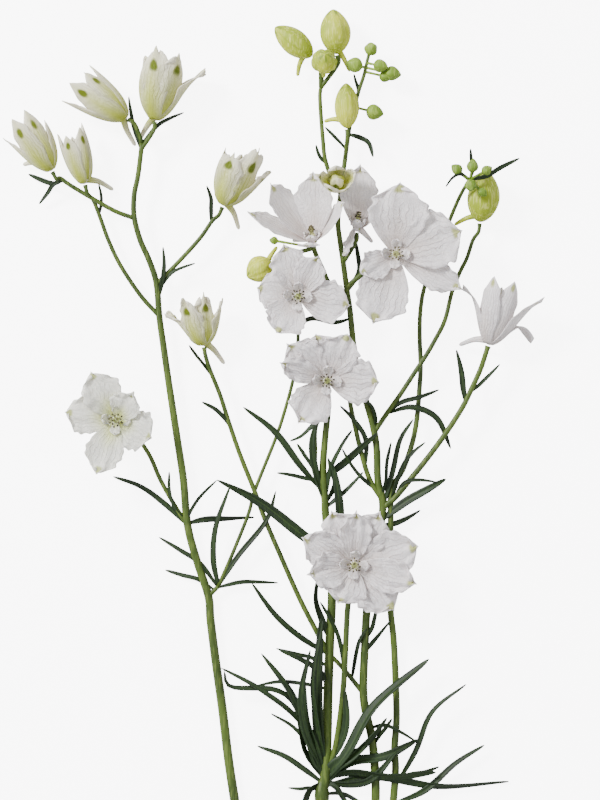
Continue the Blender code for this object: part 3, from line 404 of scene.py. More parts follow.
# Half-open blooms: carrier, base (x, y, height), axis (degrees on the sheet, degrees up),
# widest radius and cup length in mm, spur's direction on the sheet in degrees,
# sepals (degrees round the axis with 90 facing up, tip's distance along and from the axis in mm)
CUPS = {
    "cup_top_right": ("left", (155, 121, 9.4), (82, 0), 8.6, 22, -128, [
        (180, 24.0, 7.0), (112, 27.5, 7.0), (45, 26.0, 8.5), (-8, 22.5, 17.0), (255, 24.0, 6.5)]),
    "cup_top_left": ("left", (127, 119, 9.4), (144, 0), 8.2, 20, -70, [
        (182, 25.2, 10.5), (110, 26.3, 6.5), (50, 24.0, 8.0), (0, 24.5, 9.0), (270, 23.0, 6.5)]),
    "cup_far_left": ("branch_c3", (52, 171, 9.2), (120, 0), 8.0, 19, 170, [
        (180, 21.0, 11.5), (115, 25.0, 8.0), (62, 26.0, 6.5), (-4, 19.0, 8.0), (270, 22.0, 6.0)]),
    "cup_near_left": ("branch_c4", (85, 184, 8.6), (105, 0), 6.3, 18, -15, [
        (184, 22.0, 6.0), (112, 20.0, 6.0), (48, 22.0, 6.5), (-6, 24.0, 5.2), (265, 20.0, 5.0)]),
    "cup_right": ("branch_c5", (223, 206, 9.2), (66, 6), 8.2, 18, -60, [
        (180, 20.0, 8.0), (118, 20.0, 8.5), (52, 26.0, 7.0), (-4, 19.5, 11.0), (265, 21.0, 6.5)]),
    "cup_middle": ("branch_c6", (204, 346, 8.4), (99, 0), 6.8, 14, -45, [
        (180, 15.0, 12.5), (122, 18.5, 9.0), (62, 19.5, 6.0), (0, 16.5, 9.5), (270, 17.0, 5.5)]),
    "cup_front": ("spike", (337, 185, 12.5), (90, 74), 6.6, 9, 160, [
        (180, 9.0, 8.6), (118, 10.5, 6.0), (55, 9.5, 7.4), (-10, 10.5, 7.6), (262, 11.0, 4.0)]),
    "bloom_right": ("branch_b7", (488, 345, 10.4), (73, 0), 8.6, 21, -175, [
        (182, 20.0, 18.5), (128, 26.5, 10.5), (70, 27.0, 7.5), (14, 24.5, 17.5),
        (-22, 8.0, 20.5), (262, 24.0, 8.0)]),
}

# Closed buds: carrier, base (x, y, height), tip (x, y, height), width mm,
# spur (degrees on the sheet, length mm, drop mm)
BUDS = {
    "bud_top_right": ("branch_d", (337, 54, 7.4), (333, 9, 7.4), 12.5, (-60, 11, 3)),
    "bud_top_left": ("branch_d", (312, 56, 7.2), (275, 27, 7.4), 10.5, (-110, 10, 3)),
    "bud_top_front": ("branch_d", (323, 68, 9.0), (325, 57, 18), 10.5, (-90, 5, 1)),
    "bud_spike": ("spike", (347, 129, 10.5), (346, 84, 11.5), 10.0, (180, 9, 2)),
    "bud_left": ("branch_b5", (272, 262, 6.8), (247, 277, 8.0), 11.0, (60, 9, 3)),
    "bud_right": ("branch_d6", (480, 222, 7.0), (487, 171, 7.2), 13.2, (200, 11, 3)),
}

# Leaf lobes and bracts: carrier, width mm, height half way and at the tip in mm, points (x, y)
LEAVES = [
    ("left", 2.4, 4.0, 1.5, [(187, 526), (165, 505), (140, 487), (112, 477)]),
    ("left", 1.6, 5.5, 7.0, [(186, 524), (174, 508), (169, 490), (169, 472)]),
    ("left", 2.6, 4.0, 3.0, [(187, 524), (205, 520), (230, 519), (254, 518)]),
    ("left", 1.3, 6.0, 8.0, [(186, 522), (190, 512), (200, 497), (217, 480)]),
    ("branch_side", 2.0, 3.2, 1.2, [(218, 588), (200, 564), (180, 551), (158, 538)]),
    ("branch_side", 1.9, 2.2, 0.6, [(214, 590), (198, 580), (182, 576), (164, 571)]),
    ("branch_side", 3.2, 7.0, 9.0, [(218, 588), (213, 560), (216, 525), (230, 486)]),
    ("branch_side", 2.2, 6.0, 5.0, [(218, 588), (238, 556), (266, 521), (276, 491)]),
    ("branch_side", 1.7, 3.0, 1.0, [(217, 588), (240, 583), (258, 583), (278, 584)]),
    ("branch_c6", 1.8, 7.0, 8.5, [(230, 428), (224, 418), (215, 409), (202, 402)]),
    ("branch_c6", 1.6, 7.4, 8.0, [(213, 376), (205, 366), (197, 356), (189, 345)]),
    ("left", 1.8, 7.4, 8.6, [(158, 300), (162, 282), (164, 265), (163, 247)]),
    ("left", 1.6, 7.0, 8.0, [(158, 292), (166, 278), (176, 270), (195, 263)]),
    ("branch_c5", 1.7, 8.4, 9.5, [(211, 222), (211, 208), (211, 198), (207, 186)]),
    ("branch_c3", 2.2, 4.2, 2.5, [(63, 181), (53, 183), (42, 180), (27, 173)]),
    ("branch_c3", 1.8, 6.0, 2.5, [(63, 181), (53, 184), (47, 192), (38, 203)]),
    ("branch_c4", 1.5, 6.5, 8.0, [(99, 214), (101, 204), (101, 195), (99, 184)]),
    ("main", 4.4, 7.0, 8.0, [(331, 556), (302, 535), (262, 504), (217, 480)]),
    ("strand_left", 2.8, 7.0, 9.0, [(319, 489), (300, 465), (275, 432), (243, 407)]),
    ("strand_left", 1.7, 6.0, 5.0, [(317, 481), (303, 478), (290, 475), (277, 473)]),
    ("strand_left", 1.9, 7.0, 8.0, [(316, 474), (309, 462), (303, 453), (297, 444)]),
    ("main", 2.0, 7.0, 8.0, [(327, 412), (313, 425), (301, 436), (290, 441)]),
    ("main", 3.2, 7.0, 8.0, [(323, 478), (342, 465), (360, 449), (378, 433)]),
    ("strand_right", 2.0, 7.0, 8.5, [(365, 468), (366, 440), (354, 420), (340, 406)]),
    ("main", 2.2, 8.0, 10.0, [(325, 506), (335, 485), (332, 472), (328, 458)]),
    ("main", 2.2, 7.0, 9.0, [(325, 508), (342, 494), (354, 482), (363, 472)]),
    ("spike", 3.6, 7.5, 9.0, [(382, 520), (405, 502), (426, 490), (446, 479)]),
    ("spike", 2.2, 4.0, 2.5, [(382, 526), (395, 524), (407, 519), (421, 511)]),
    ("spike", 2.2, 8.5, 10.0, [(383, 508), (393, 470), (400, 440), (413, 419)]),
    ("spike", 1.8, 9.0, 11.0, [(382, 498), (386, 480), (387, 462), (391, 442)]),
    ("branch_b7", 1.8, 9.0, 10.5, [(390, 502), (402, 468), (412, 453), (425, 442)]),
    ("spike", 1.9, 7.0, 8.0, [(380, 494), (362, 478), (350, 463), (342, 449)]),
    ("branch_b7", 1.5, 8.0, 9.0, [(394, 498), (404, 483), (418, 480), (436, 482)]),
    ("branch_d6", 2.6, 9.0, 6.0, [(387, 414), (412, 407), (437, 418), (451, 449)]),
    ("branch_d6", 1.9, 9.0, 9.0, [(388, 411), (402, 402), (420, 397), (439, 390)]),
    ("spike", 1.9, 7.0, 8.5, [(374, 432), (376, 418), (370, 404), (355, 397)]),
    ("branch_b7", 2.4, 9.5, 11.0, [(465, 402), (463, 388), (461, 372), (456, 350)]),
    ("branch_b7", 1.5, 9.0, 8.0, [(470, 393), (478, 386), (486, 378), (500, 364)]),
    ("spike", 2.0, 7.0, 8.5, [(350, 134), (360, 137), (369, 143), (373, 157)]),
    ("spike", 1.5, 6.4, 7.0, [(349, 150), (341, 143), (334, 136), (325, 127)]),
    ("spike", 1.4, 6.6, 7.4, [(359, 92), (358, 87), (356, 81), (354, 74)]),
    ("branch_b5", 2.0, 6.0, 4.5, [(333, 287), (324, 286), (315, 277), (305, 271)]),
    ("spike", 2.0, 4.4, 3.5, [(346, 292), (359, 272), (358, 255), (354, 234)]),
    ("spike", 2.2, 6.0, 5.0, [(351, 318), (335, 322), (312, 318), (292, 328)]),
    ("main", 4.8, 9.0, 8.0, [(325, 782), (347, 752), (374, 705), (429, 659)]),
    ("main", 4.0, 5.5, 3.0, [(325, 786), (350, 763), (385, 757), (419, 741)]),
    ("main", 3.4, 4.6, 1.0, [(324, 788), (375, 778), (440, 788), (510, 784)]),
    ("main", 3.0, 8.0, 5.0, [(325, 784), (307, 738), (292, 695), (261, 654)]),
    ("main", 2.4, 9.5, 7.0, [(324, 780), (302, 724), (262, 690), (221, 668)]),
    ("main", 2.8, 11.0, 14.0, [(326, 776), (307, 735), (301, 695), (310, 649)]),
    ("main", 3.0, 11.0, 15.0, [(326, 772), (316, 720), (313, 675), (323, 619)]),
    ("main", 2.3, 3.0, 0.8, [(324, 786), (303, 770), (283, 757), (257, 748)]),
    ("main", 1.5, 2.0, 0.6, [(323, 792), (310, 790), (300, 791), (288, 790)]),
    ("main", 1.6, 4.0, 3.0, [(326, 764), (308, 744), (292, 727), (271, 715)]),
    ("main", 3.0, 4.0, 1.0, [(321, 796), (345, 796), (368, 812), (384, 836)]),
    ("right", 2.2, 6.0, 9.0, [(396, 790), (416, 752), (432, 712), (466, 684)]),
    ("right", 2.6, 4.5, 4.0, [(393, 806), (425, 792), (455, 765), (485, 746)]),
    ("right", 1.9, 3.0, 1.4, [(396, 782), (412, 776), (425, 774), (440, 769)]),
    ("spike", 1.8, 5.5, 7.0, [(373, 748), (380, 736), (386, 728), (392, 719)]),
    ("spike", 1.6, 7.0, 8.0, [(369, 730), (385, 726), (400, 732), (417, 742)]),
    ("main", 2.6, 5.5, 4.0, [(330, 656), (300, 637), (275, 615), (252, 584)]),
    ("main", 1.6, 3.4, 1.6, [(329, 668), (312, 659), (296, 655), (276, 650)]),
    ("main", 1.6, 2.6, 0.8, [(328, 690), (305, 685), (280, 683), (254, 688)]),
    ("strand_low", 2.0, 5.0, 7.5, [(344, 670), (341, 648), (334, 626), (320, 602)]),
    ("strand_low", 1.8, 5.0, 6.5, [(352, 680), (356, 655), (360, 640), (367, 629)]),
    ("spike", 1.9, 5.0, 6.0, [(365, 654), (373, 643), (382, 632), (391, 621)]),
    ("spike", 1.7, 6.0, 7.0, [(366, 640), (372, 629), (375, 617), (378, 604)]),
    ("right", 2.0, 17.6, 17.0, [(469, 182), (485, 178), (500, 169), (518, 160)]),
    ("right", 1.5, 17.0, 18.0, [(469, 182), (472, 171), (470, 161), (469, 151)]),
    ("right", 1.4, 16.4, 15.4, [(468, 183), (460, 176), (452, 179), (445, 188)]),
    ("left", 1.6, 8.6, 9.5, [(142, 150), (134, 128), (131, 112), (129, 97)]),
    ("left", 1.6, 8.6, 9.0, [(144, 140), (157, 126), (169, 119), (184, 113)]),
    ("branch_d", 1.4, 6.6, 7.6, [(324, 164), (321, 158), (318, 152), (316, 145)]),
]

# Young green buds near the spike's top: carrier, bud (x, y, height), width mm
YOUNG_BUDS = [
    ("spike", (371, 49, 8.0), 5.6), ("spike", (355, 65, 7.6), 6.4), ("spike", (380, 66, 9.2), 5.6),
    ("spike", (392, 73, 7.4), 6.2), ("spike", (385, 76, 6.6), 4.8), ("spike", (374, 112, 8.2), 6.6),
    ("right", (456, 171, 15.6), 4.6), ("right", (471, 168, 17.2), 5.0),
    ("right", (485, 172, 17.4), 4.2), ("right", (469, 187, 18.2), 5.0),
    ("right", (481, 194, 18.0), 3.6),
    ("branch_b5", (274, 240, 3.4), 3.4),
]

# Strands that run into another stalk at their end, and stalks that run on past their seats
STRANDS_INTO = {"strand_left": "main", "strand_right": "spike", "strand_low": "main"}
PASSING_STALKS = ("branch_d", "spike", "left")

# Open blooms: strength of their sepals' waves, added width, and which have a yellow-green throat
RUFFLE = {"bloom_upper": 0.25, "bloom_low": 1.3, "bloom_large": 1.0, "bloom_mid": 1.1}
PLAIN_RUFFLE = 0.8
FULLER = {"bloom_mid": 1.08}
LEMON_BLOOMS = ("bloom_left",)

# Half-open blooms drawn in so that they keep clear of their neighbours
CLOSE_NEIGHBOURS = ("cup_far_left", "cup_near_left", "cup_front", "bloom_right", "cup_top_left")

# More lobes of the leaf tufts round the nodes of the main stalk: as LEAVES
LOW_LEAVES = [
    ("main", 3.0, 5.5, 6.5, [
        (326, 782), (305, 752), (296, 708), (275, 690), (231, 687), (224, 671)]),
    ("main", 1.5, 6.5, 7.5, [(326, 778), (313, 762), (302, 720), (285, 682), (265, 657)]),
    ("main", 3.6, 6.5, 8.0, [(326, 780), (316, 752), (306, 720), (303, 676)]),
    ("main", 4.4, 7.0, 7.5, [(326, 778), (320, 745), (317, 700), (321, 618)]),
    ("main", 3.4, 7.0, 8.0, [(328, 770), (340, 745), (346, 722), (345, 690)]),
    ("main", 3.2, 7.0, 8.0, [(326, 778), (350, 760), (372, 738), (387, 718)]),
    ("main", 4.2, 6.0, 6.5, [(325, 780), (352, 774), (390, 778), (436, 773)]),
    ("main", 5.5, 6.0, 7.5, [(324, 786), (334, 768), (350, 757), (366, 746)]),
    ("main", 3.0, 5.0, 6.0, [(324, 784), (350, 786), (372, 780), (397, 752)]),
    ("main", 2.4, 5.0, 5.0, [(324, 784), (336, 788), (344, 800), (352, 812)]),
    ("main", 3.0, 5.0, 5.0, [(324, 784), (310, 792), (305, 806), (306, 820)]),
    ("main", 3.0, 7.5, 8.5, [(330, 640), (322, 620), (316, 600), (318, 575)]),
    ("main", 2.2, 7.5, 8.5, [(329, 690), (320, 672), (302, 660), (279, 650)]),
    ("main", 3.6, 8.5, 9.0, [(330, 560), (340, 520), (336, 480), (331, 464)]),
    ("main", 3.0, 8.5, 9.0, [(326, 500), (316, 472), (312, 445), (316, 421)]),
    ("main", 2.6, 8.5, 9.0, [(326, 500), (330, 470), (341, 446), (352, 430)]),
]


@dataclass
class Nodes:
    """Short hand for building a node tree."""

    tree: bpy.types.NodeTree

    def add(self, kind: str, **values: object) -> bpy.types.Node:
        """Add a node and set its own properties."""
        node = self.tree.nodes.new(kind)
        for key, value in values.items():
            setattr(node, key, value)
        return node

    def link(self, a: bpy.types.NodeSocket, b: bpy.types.NodeSocket) -> None:
        """Join an output to an input."""
        self.tree.links.new(a, b)

    def fill(self, node: bpy.types.Node, values: dict[str, object]) -> None:
        """Set constants on a node's own sockets."""
        for name, value in values.items():
            node.inputs[name].default_value = value

    def uv_parts(self) -> tuple[bpy.types.NodeSocket, bpy.types.NodeSocket]:
        """U and V of the piece's own UV map."""
        uv = self.add("ShaderNodeUVMap")
        part = self.add("ShaderNodeSeparateXYZ")
        self.link(uv.outputs[0], part.inputs[0])
        return part.outputs[0], part.outputs[1]

    def tint(self, colour: bpy.types.NodeSocket, mask: bpy.types.NodeSocket, share: float,
             over: tuple[float, float, float]) -> bpy.types.NodeSocket:
        """Lay a second colour over the first, where a mask says and at a share."""
        return self.mix(self.math("MULTIPLY", mask, share), colour, over)

    def bump(self, shader: bpy.types.Node, height: bpy.types.NodeSocket, strength: float,
             distance: float) -> None:
        """Give a shader its relief."""
        node = self.add("ShaderNodeBump")
        self.fill(node, {"Strength": strength, "Distance": distance})
        self.link(height, node.inputs["Height"])
        self.link(node.outputs[0], shader.inputs["Normal"])

    def math(self, operation: str, a: object, b: object = None) -> bpy.types.NodeSocket:
        """Math node on one or two values or sockets, giving its output."""
        node = self.add("ShaderNodeMath", operation=operation)
        for i, value in enumerate((a, b)):
            if value is None:
                continue
            if isinstance(value, (int, float)):
                node.inputs[i].default_value = value
            else:
                self.link(value, node.inputs[i])
        return node.outputs[0]

    def ramp(self, value: bpy.types.NodeSocket, low: float, high: float
             ) -> bpy.types.NodeSocket:
        """0 at low, 1 at high, smooth between."""
        node = self.add("ShaderNodeMapRange", interpolation_type="SMOOTHSTEP")
        self.fill(node, {"From Min": low, "From Max": high})
        self.link(value, node.inputs["Value"])
        return node.outputs["Result"]

    def mix(self, factor: object, a: object, b: object) -> bpy.types.NodeSocket:
        """Mix two colours."""
        node = self.add("ShaderNodeMix", data_type="RGBA")
        if isinstance(factor, (int, float)):
            node.inputs[0].default_value = factor
        else:
            self.link(factor, node.inputs[0])
        for i, value in ((6, a), (7, b)):
            if isinstance(value, tuple):
                node.inputs[i].default_value = (*value, 1.0)
            else:
                self.link(value, node.inputs[i])
        return node.outputs[2]

    def noise(self, scale: float, detail: float, vector: bpy.types.NodeSocket
              ) -> bpy.types.NodeSocket:
        """Noise value on a vector."""
        node = self.add("ShaderNodeTexNoise")
        self.fill(node, {"Scale": scale, "Detail": detail})
        self.link(vector, node.inputs["Vector"])
        return node.outputs["Fac"]


def make_vein_group() -> bpy.types.ShaderNodeTree:
    """Veins that fan out from a sepal's foot, read from its UV map.

    Returns:
        A group with outputs Veins, Spot and Foot, each a mask from 0 to 1.
    """
    tree = bpy.data.node_groups.new("sepal_veins", "ShaderNodeTree")
    tree.interface.new_socket("Vector", in_out="INPUT", socket_type="NodeSocketVector")
    for name, value in (("Count", VEINS), ("Reach", 0.42), ("Spot At", 0.87)):
        socket = tree.interface.new_socket(name, in_out="INPUT", socket_type="NodeSocketFloat")
        socket.default_value = value
    for name in ("Veins", "Spot", "Foot"):
        tree.interface.new_socket(name, in_out="OUTPUT", socket_type="NodeSocketFloat")
    n = Nodes(tree)
    inlet = n.add("NodeGroupInput")
    outlet = n.add("NodeGroupOutput")
    where = n.add("ShaderNodeTexCoord")
    uv = n.add("ShaderNodeSeparateXYZ")
    n.link(inlet.outputs["Vector"], uv.inputs[0])
    wander = n.noise(220.0, 3.0, where.outputs["Object"])
    across = n.math("SUBTRACT", uv.outputs[1], 0.5)
    bent = n.math("ADD", across, n.math("MULTIPLY", n.math("SUBTRACT", wander, 0.5), 0.24))
    wave = n.math("SINE", n.math("MULTIPLY", bent,
                                 n.math("MULTIPLY", inlet.outputs["Count"], TURN)))
    lines = n.ramp(wave, 0.55, 1.0)
    fork = n.noise(900.0, 2.0, where.outputs["Object"])
    branches = n.ramp(n.math("ABSOLUTE", n.math("SUBTRACT", fork, 0.5)), 0.035, 0.0)
    patch = n.ramp(n.noise(95.0, 1.0, where.outputs["Object"]), 0.30, 0.62)
    both = n.math("MAXIMUM", n.math("MULTIPLY", lines, patch), n.math("MULTIPLY", branches, 0.45))
    n.link(n.math("MULTIPLY", both, n.ramp(uv.outputs[0], 1.02, 0.55)), outlet.inputs["Veins"])
    du = n.math("MULTIPLY", n.math("SUBTRACT", uv.outputs[0], inlet.outputs["Spot At"]), 9.5)
    dv = n.math("MULTIPLY", across, 5.5)
    far = n.math("ADD", n.math("MULTIPLY", du, du), n.math("MULTIPLY", dv, dv))
    rough = n.math("ADD", far, n.math("MULTIPLY", n.math("SUBTRACT", wander, 0.5), 0.8))
    n.link(n.ramp(rough, 0.9, 0.15), outlet.inputs["Spot"])
    # Foot mask: strongest at a sepal's foot; it carries the real base tint of cream and lemon and
    # the painted shade of white.
    foot = n.math("DIVIDE", uv.outputs[0], inlet.outputs["Reach"])
    n.link(n.ramp(n.math("ADD", foot, n.math("MULTIPLY", n.math("ABSOLUTE", across), 0.9)),
                  1.15, 0.10), outlet.inputs["Foot"])
    return tree


@dataclass(frozen=True)
class SepalFinish:
    """Thin white sepal with faint veins, a green tip spot and a foot colour: real tint, painted
    shade on white.
    """

    name: str
    white: tuple[float, float, float]
    vein: tuple[float, float, float]
    foot: tuple[float, float, float]
    # Foot colour: the real yellow-green base on cream and lemon; on white it is painted shade,
    # darkening each sepal towards its foot.
    spot: tuple[float, float, float]
    vein_share: float
    foot_tint_and_shade_share: float
    spot_share: float
    foot_tint_and_shade_reach: float
    spot_at: float

    def build(self, veins: bpy.types.ShaderNodeTree) -> bpy.types.Material:
        """Make the material round the shared vein group."""
        mat = bpy.data.materials.new(self.name)
        mat.use_nodes = True
        n = Nodes(mat.node_tree)
        shader = mat.node_tree.nodes["Principled BSDF"]
        n.fill(shader, {"Roughness": 0.62, "Specular IOR Level": 0.25, "Subsurface Weight": 0.25,
                        "Subsurface Radius": (0.004, 0.0035, 0.003), "Subsurface Scale": 0.5})
        uv = n.add("ShaderNodeUVMap")
        where = n.add("ShaderNodeTexCoord")
        group = n.add("ShaderNodeGroup", node_tree=veins)
        n.fill(group, {"Count": VEINS, "Reach": self.foot_tint_and_shade_reach, "Spot At": self.spot_at})
        n.link(uv.outputs[0], group.inputs["Vector"])
        cloud = n.noise(70.0, 2.0, where.outputs["Object"])
        soft = tuple(c * 0.93 for c in self.white)
        colour = n.mix(n.ramp(cloud, 0.35, 0.65), self.white, soft)
        colour = n.tint(colour, group.outputs["Veins"], self.vein_share, self.vein)
        # Foot colour laid by the foot mask: painted shade on the white finish, the real base tint
        # on cream and lemon.
        colour = n.tint(colour, group.outputs["Foot"], self.foot_tint_and_shade_share, self.foot)
        colour = n.tint(colour, group.outputs["Spot"], self.spot_share, self.spot)
        n.link(colour, shader.inputs["Base Color"])
        fine = n.noise(420.0, 3.0, where.outputs["Object"])
        relief = n.math("ADD", group.outputs["Veins"], n.math("MULTIPLY", fine, 0.9))
        n.bump(shader, relief, 0.6, 0.0008)
        return mat


@dataclass(frozen=True)
class GreenFinish:
    """Leaf, stalk or bud skin: two greens in fine streaks, satin."""

    name: str
    deep: tuple[float, float, float]
    light: tuple[float, float, float]
    pale: tuple[float, float, float]
    streak: float
    rough: float
    along_uv: bool = False
    tip_spots: bool = False

    def build(self) -> bpy.types.Material:
        """Make the material."""
        mat = bpy.data.materials.new(self.name)
        mat.use_nodes = True
        n = Nodes(mat.node_tree)
        shader = mat.node_tree.nodes["Principled BSDF"]
        n.fill(shader, {"Specular IOR Level": 0.35})
        where = n.add("ShaderNodeTexCoord")
        cloud = n.noise(45.0, 3.0, where.outputs["Object"])
        stretch = n.add("ShaderNodeMapping")
        n.fill(stretch, {"Scale": (1.0, 0.12, 1.0)})
        n.link(where.outputs["Object"], stretch.inputs["Vector"])
        fine = n.noise(1500.0, 2.0, stretch.outputs[0])
        colour = n.mix(n.ramp(cloud, 0.38, 0.62), self.deep, self.light)
        colour = n.tint(colour, n.ramp(fine, 0.45, 0.7), self.streak, self.pale)
        if self.along_uv:
            v = n.uv_parts()[1]
            rib = n.ramp(n.math("ABSOLUTE", n.math("SUBTRACT", v, 0.5)), 0.10, 0.02)
            colour = n.tint(colour, rib, 0.45, self.pale)
        if self.tip_spots:
            u, v = n.uv_parts()
            lobes = n.ramp(n.math("COSINE", n.math("MULTIPLY", u, SPOT_WAVES)), 0.1, 0.8)
            band = n.math("MULTIPLY", n.ramp(v, 0.70, 0.80), n.ramp(v, 0.99, 0.90))
            colour = n.tint(colour, n.math("MULTIPLY", lobes, band), 0.85, TIP_SPOT)
            seams = n.math("SINE", n.math("MULTIPLY", u, SEAM_WAVES))
            colour = n.tint(colour, n.ramp(seams, 0.3, 1.0), 0.30, self.deep)
        n.link(colour, shader.inputs["Base Color"])
        n.link(n.math("ADD", self.rough, n.math("MULTIPLY", fine, 0.15)),
               shader.inputs["Roughness"])
        n.bump(shader, fine, 0.25, 0.0004)
        return mat


@dataclass
class Greenery:
    """Stalks, leaf lobes, bracts and young buds, all grown together."""

    stalk_finish: bpy.types.Material
    leaf_finish: bpy.types.Material
    young_finish: bpy.types.Material
    routes: dict[str, list[Vector]] = field(default_factory=dict)
    seat_reach: float = 0.034     # a stalk ends at a seat nearer than this to its last point
    stub_reach: float = 0.012     # a stub leaves its stalk this far before the seat
    stub_radii: tuple[float, float] = (0.0009, 0.00085)
    collar: tuple[float, float] = (1.15, 1.25)   # swelling of a stalk's last two points
    knuckle_radius: float = 0.0030
    knuckle_height: float = 0.0022
    lowest: float = 0.00005       # the knuckle's flat underside
    leaf_thick: float = 0.00045
    young_radii: tuple[float, float] = (0.0006, 0.0005)

    def seats(self) -> dict[str, list[tuple[Vector, Vector]]]:
        """Where each bloom takes its stalk end: point and direction, under its carrier's name."""
        out: dict[str, list[tuple[Vector, Vector]]] = {}
        for carrier, spot, axis, _spur, _tips in BLOOMS.values():
            way = heading(*axis)
            out.setdefault(carrier, []).append((sheet(*spot) - way * DISH_DEPTH, way))
        for carrier, spot, axis, *_rest in CUPS.values():
            out.setdefault(carrier, []).append((sheet(*spot), heading(*axis)))
        for carrier, spot, tip, _width, _spur in BUDS.values():
            way = (sheet(*tip) - sheet(*spot)).normalized()
            out.setdefault(carrier, []).append((sheet(*spot), way))
        return out

    def stalks(self) -> bpy.types.Object:
        """Build every stalk on its route, each from its carrier's centreline.

        Returns:
            The joined stalks.
        """
        seats = self.seats()
        made = []
        for name, carrier, thick, thin, points in STALKS:
            pts = [sheet(*p) for p in points]
            if carrier:
                pts[0] = nearest_on(self.routes[carrier], pts[0])
            if name in STRANDS_INTO:
                pts[-1] = nearest_on(self.routes[STRANDS_INTO[name]], pts[-1])
            ends = seats.get(name, [])
            near = [s for s in ends if (s[0] - pts[-1]).length < self.seat_reach]
            carried = near[0] if name not in PASSING_STALKS and near else None
            if carried:
                pts += [carried[0] - carried[1] * NECK, carried[0] - carried[1] * GAP]
            route = smooth_route(pts, 5)
            self.routes[name] = route
            radii = taper(route, thick * MM / 2, thin * MM / 2)
            if carried:
                radii[-1] *= self.collar[1]
                radii[-2] *= self.collar[0]
            made.append(tube(name, route, radii))
            for seat, way in ends:
                if carried and seat is carried[0]:
                    continue
                start = nearest_on(route, seat - way * self.stub_reach)
                stub = smooth_route([start, seat - way * NECK, seat - way * GAP], 6)
                radii = taper(stub, *self.stub_radii)
                radii[-1] *= self.collar[1]
                made.append(tube(name + "_stub", stub, radii))
        knuckle = ball("knuckle", Vector((0, -0.006, self.knuckle_height)),
                       Vector((0, 0.008, self.knuckle_height)),
                       lambda t, a: self.knuckle_radius * math.sin(math.pi * t) ** 0.5, 12, 20)
        for v in knuckle.data.vertices:
            v.co.z = max(self.lowest, v.co.z)
        made.append(knuckle)
        return finished("stalks", made, self.stalk_finish)

    def leaves(self) -> bpy.types.Object:
        """Build every leaf lobe and bract with its keel and a slight twist.

        Returns:
            The joined leaves.
        """
        made = []
        for i, (carrier, width, mid, end, points) in enumerate(LEAVES + LOW_LEAVES):
            first = nearest_on(self.routes[carrier], sheet(*points[0], mid))
            pts = [first]
            for k, (x, y) in enumerate(points[1:], start=1):
                f = k / (len(points) - 1)
                base = first.z / MM
                z = mid + (end - mid) * (f - 0.5) * 2 if f > 0.5 else base + (mid - base) * f * 2
                pts.append(sheet(x, y, z))
            made.append(self.lobe("leaf_%02d" % i, pts, width, 0.5 * math.sin(2.3 * i), i))
        return finished("leaves", made, self.leaf_finish)

    def lobe(self, name: str, points: list[Vector], width: float, lean: float, seed: int
             ) -> bpy.types.Object:
        """One narrow pointed lobe.

        Args:
            name: the lobe's name.
            points: its route from inside the stalk to the tip.
            width: widest width in millimetres.
            lean: turn of the blade about its route.
            seed: which of the fine waves it takes.

        Returns:
            The lobe.
        """
        route = smooth_route(points, 10)

        def place(u: float, v: float) -> Vector:
            """Point of the lobe, on its route and keeled along it."""
            p = at_fraction(route, u)
            t = (at_fraction(route, u + 0.02) - at_fraction(route, u - 0.02)).normalized()
            s = t.cross(Vector((0, 0, 1))).normalized()
            n = s.cross(t).normalized()
            turn = lean + 0.5 * math.sin(2.6 * u + seed)
            s = s * math.cos(turn) + n * math.sin(turn)
            n = s.cross(t).normalized()
            share = outline(u, max(0.40, 0.9 / width), 0.35, 0.03)
            p -= n * (0.18 * width * MM * share * (1 - abs(v)))
            p += n * (0.03 * width * MM * math.sin(9 * u + seed * 1.7 + v))
            return p + s * (width * MM / 2 * share * v)

        return sheet_blade(name, 22, 4, place, self.leaf_thick, 1.2)

    def young_buds(self) -> bpy.types.Object:
        """Build the young green buds near the tips of the spike.

        Returns:
            The joined buds.
        """
        made = []
        for i, (carrier, spot, width) in enumerate(YOUNG_BUDS):
            middle = sheet(*spot)
            root = nearest_on(self.routes[carrier], middle)
            way = middle - root
            if way.length < 0.001:
                way = heading(90, 20) * 0.001
            tip = middle + way.normalized() * width * MM * 0.62
            base = middle - way.normalized() * width * MM * 0.5
            made.append(ball("young_%02d" % i, base, tip, lambda t, a, w=width: (
                w * MM / 2 * math.sin(math.pi * t ** 0.8) ** 0.75
                * (1 - 0.10 * (0.5 + 0.5 * math.cos(5 * a)))), 14, 25))
            if way.length > width * MM * 0.4:
                thick, thin = self.young_radii
                made.append(tube("young_stalk_%02d" % i, [root, root.lerp(middle, 0.5), middle],
                                 [thick, thin, thick], 2))
        return finished("young_buds", made, self.young_finish)

    def build(self) -> list[bpy.types.Object]:
        """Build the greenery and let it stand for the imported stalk."""
        pieces = [self.stalks(), self.leaves(), self.young_buds()]
        return [seated(piece, "leafy_stem") for piece in pieces]


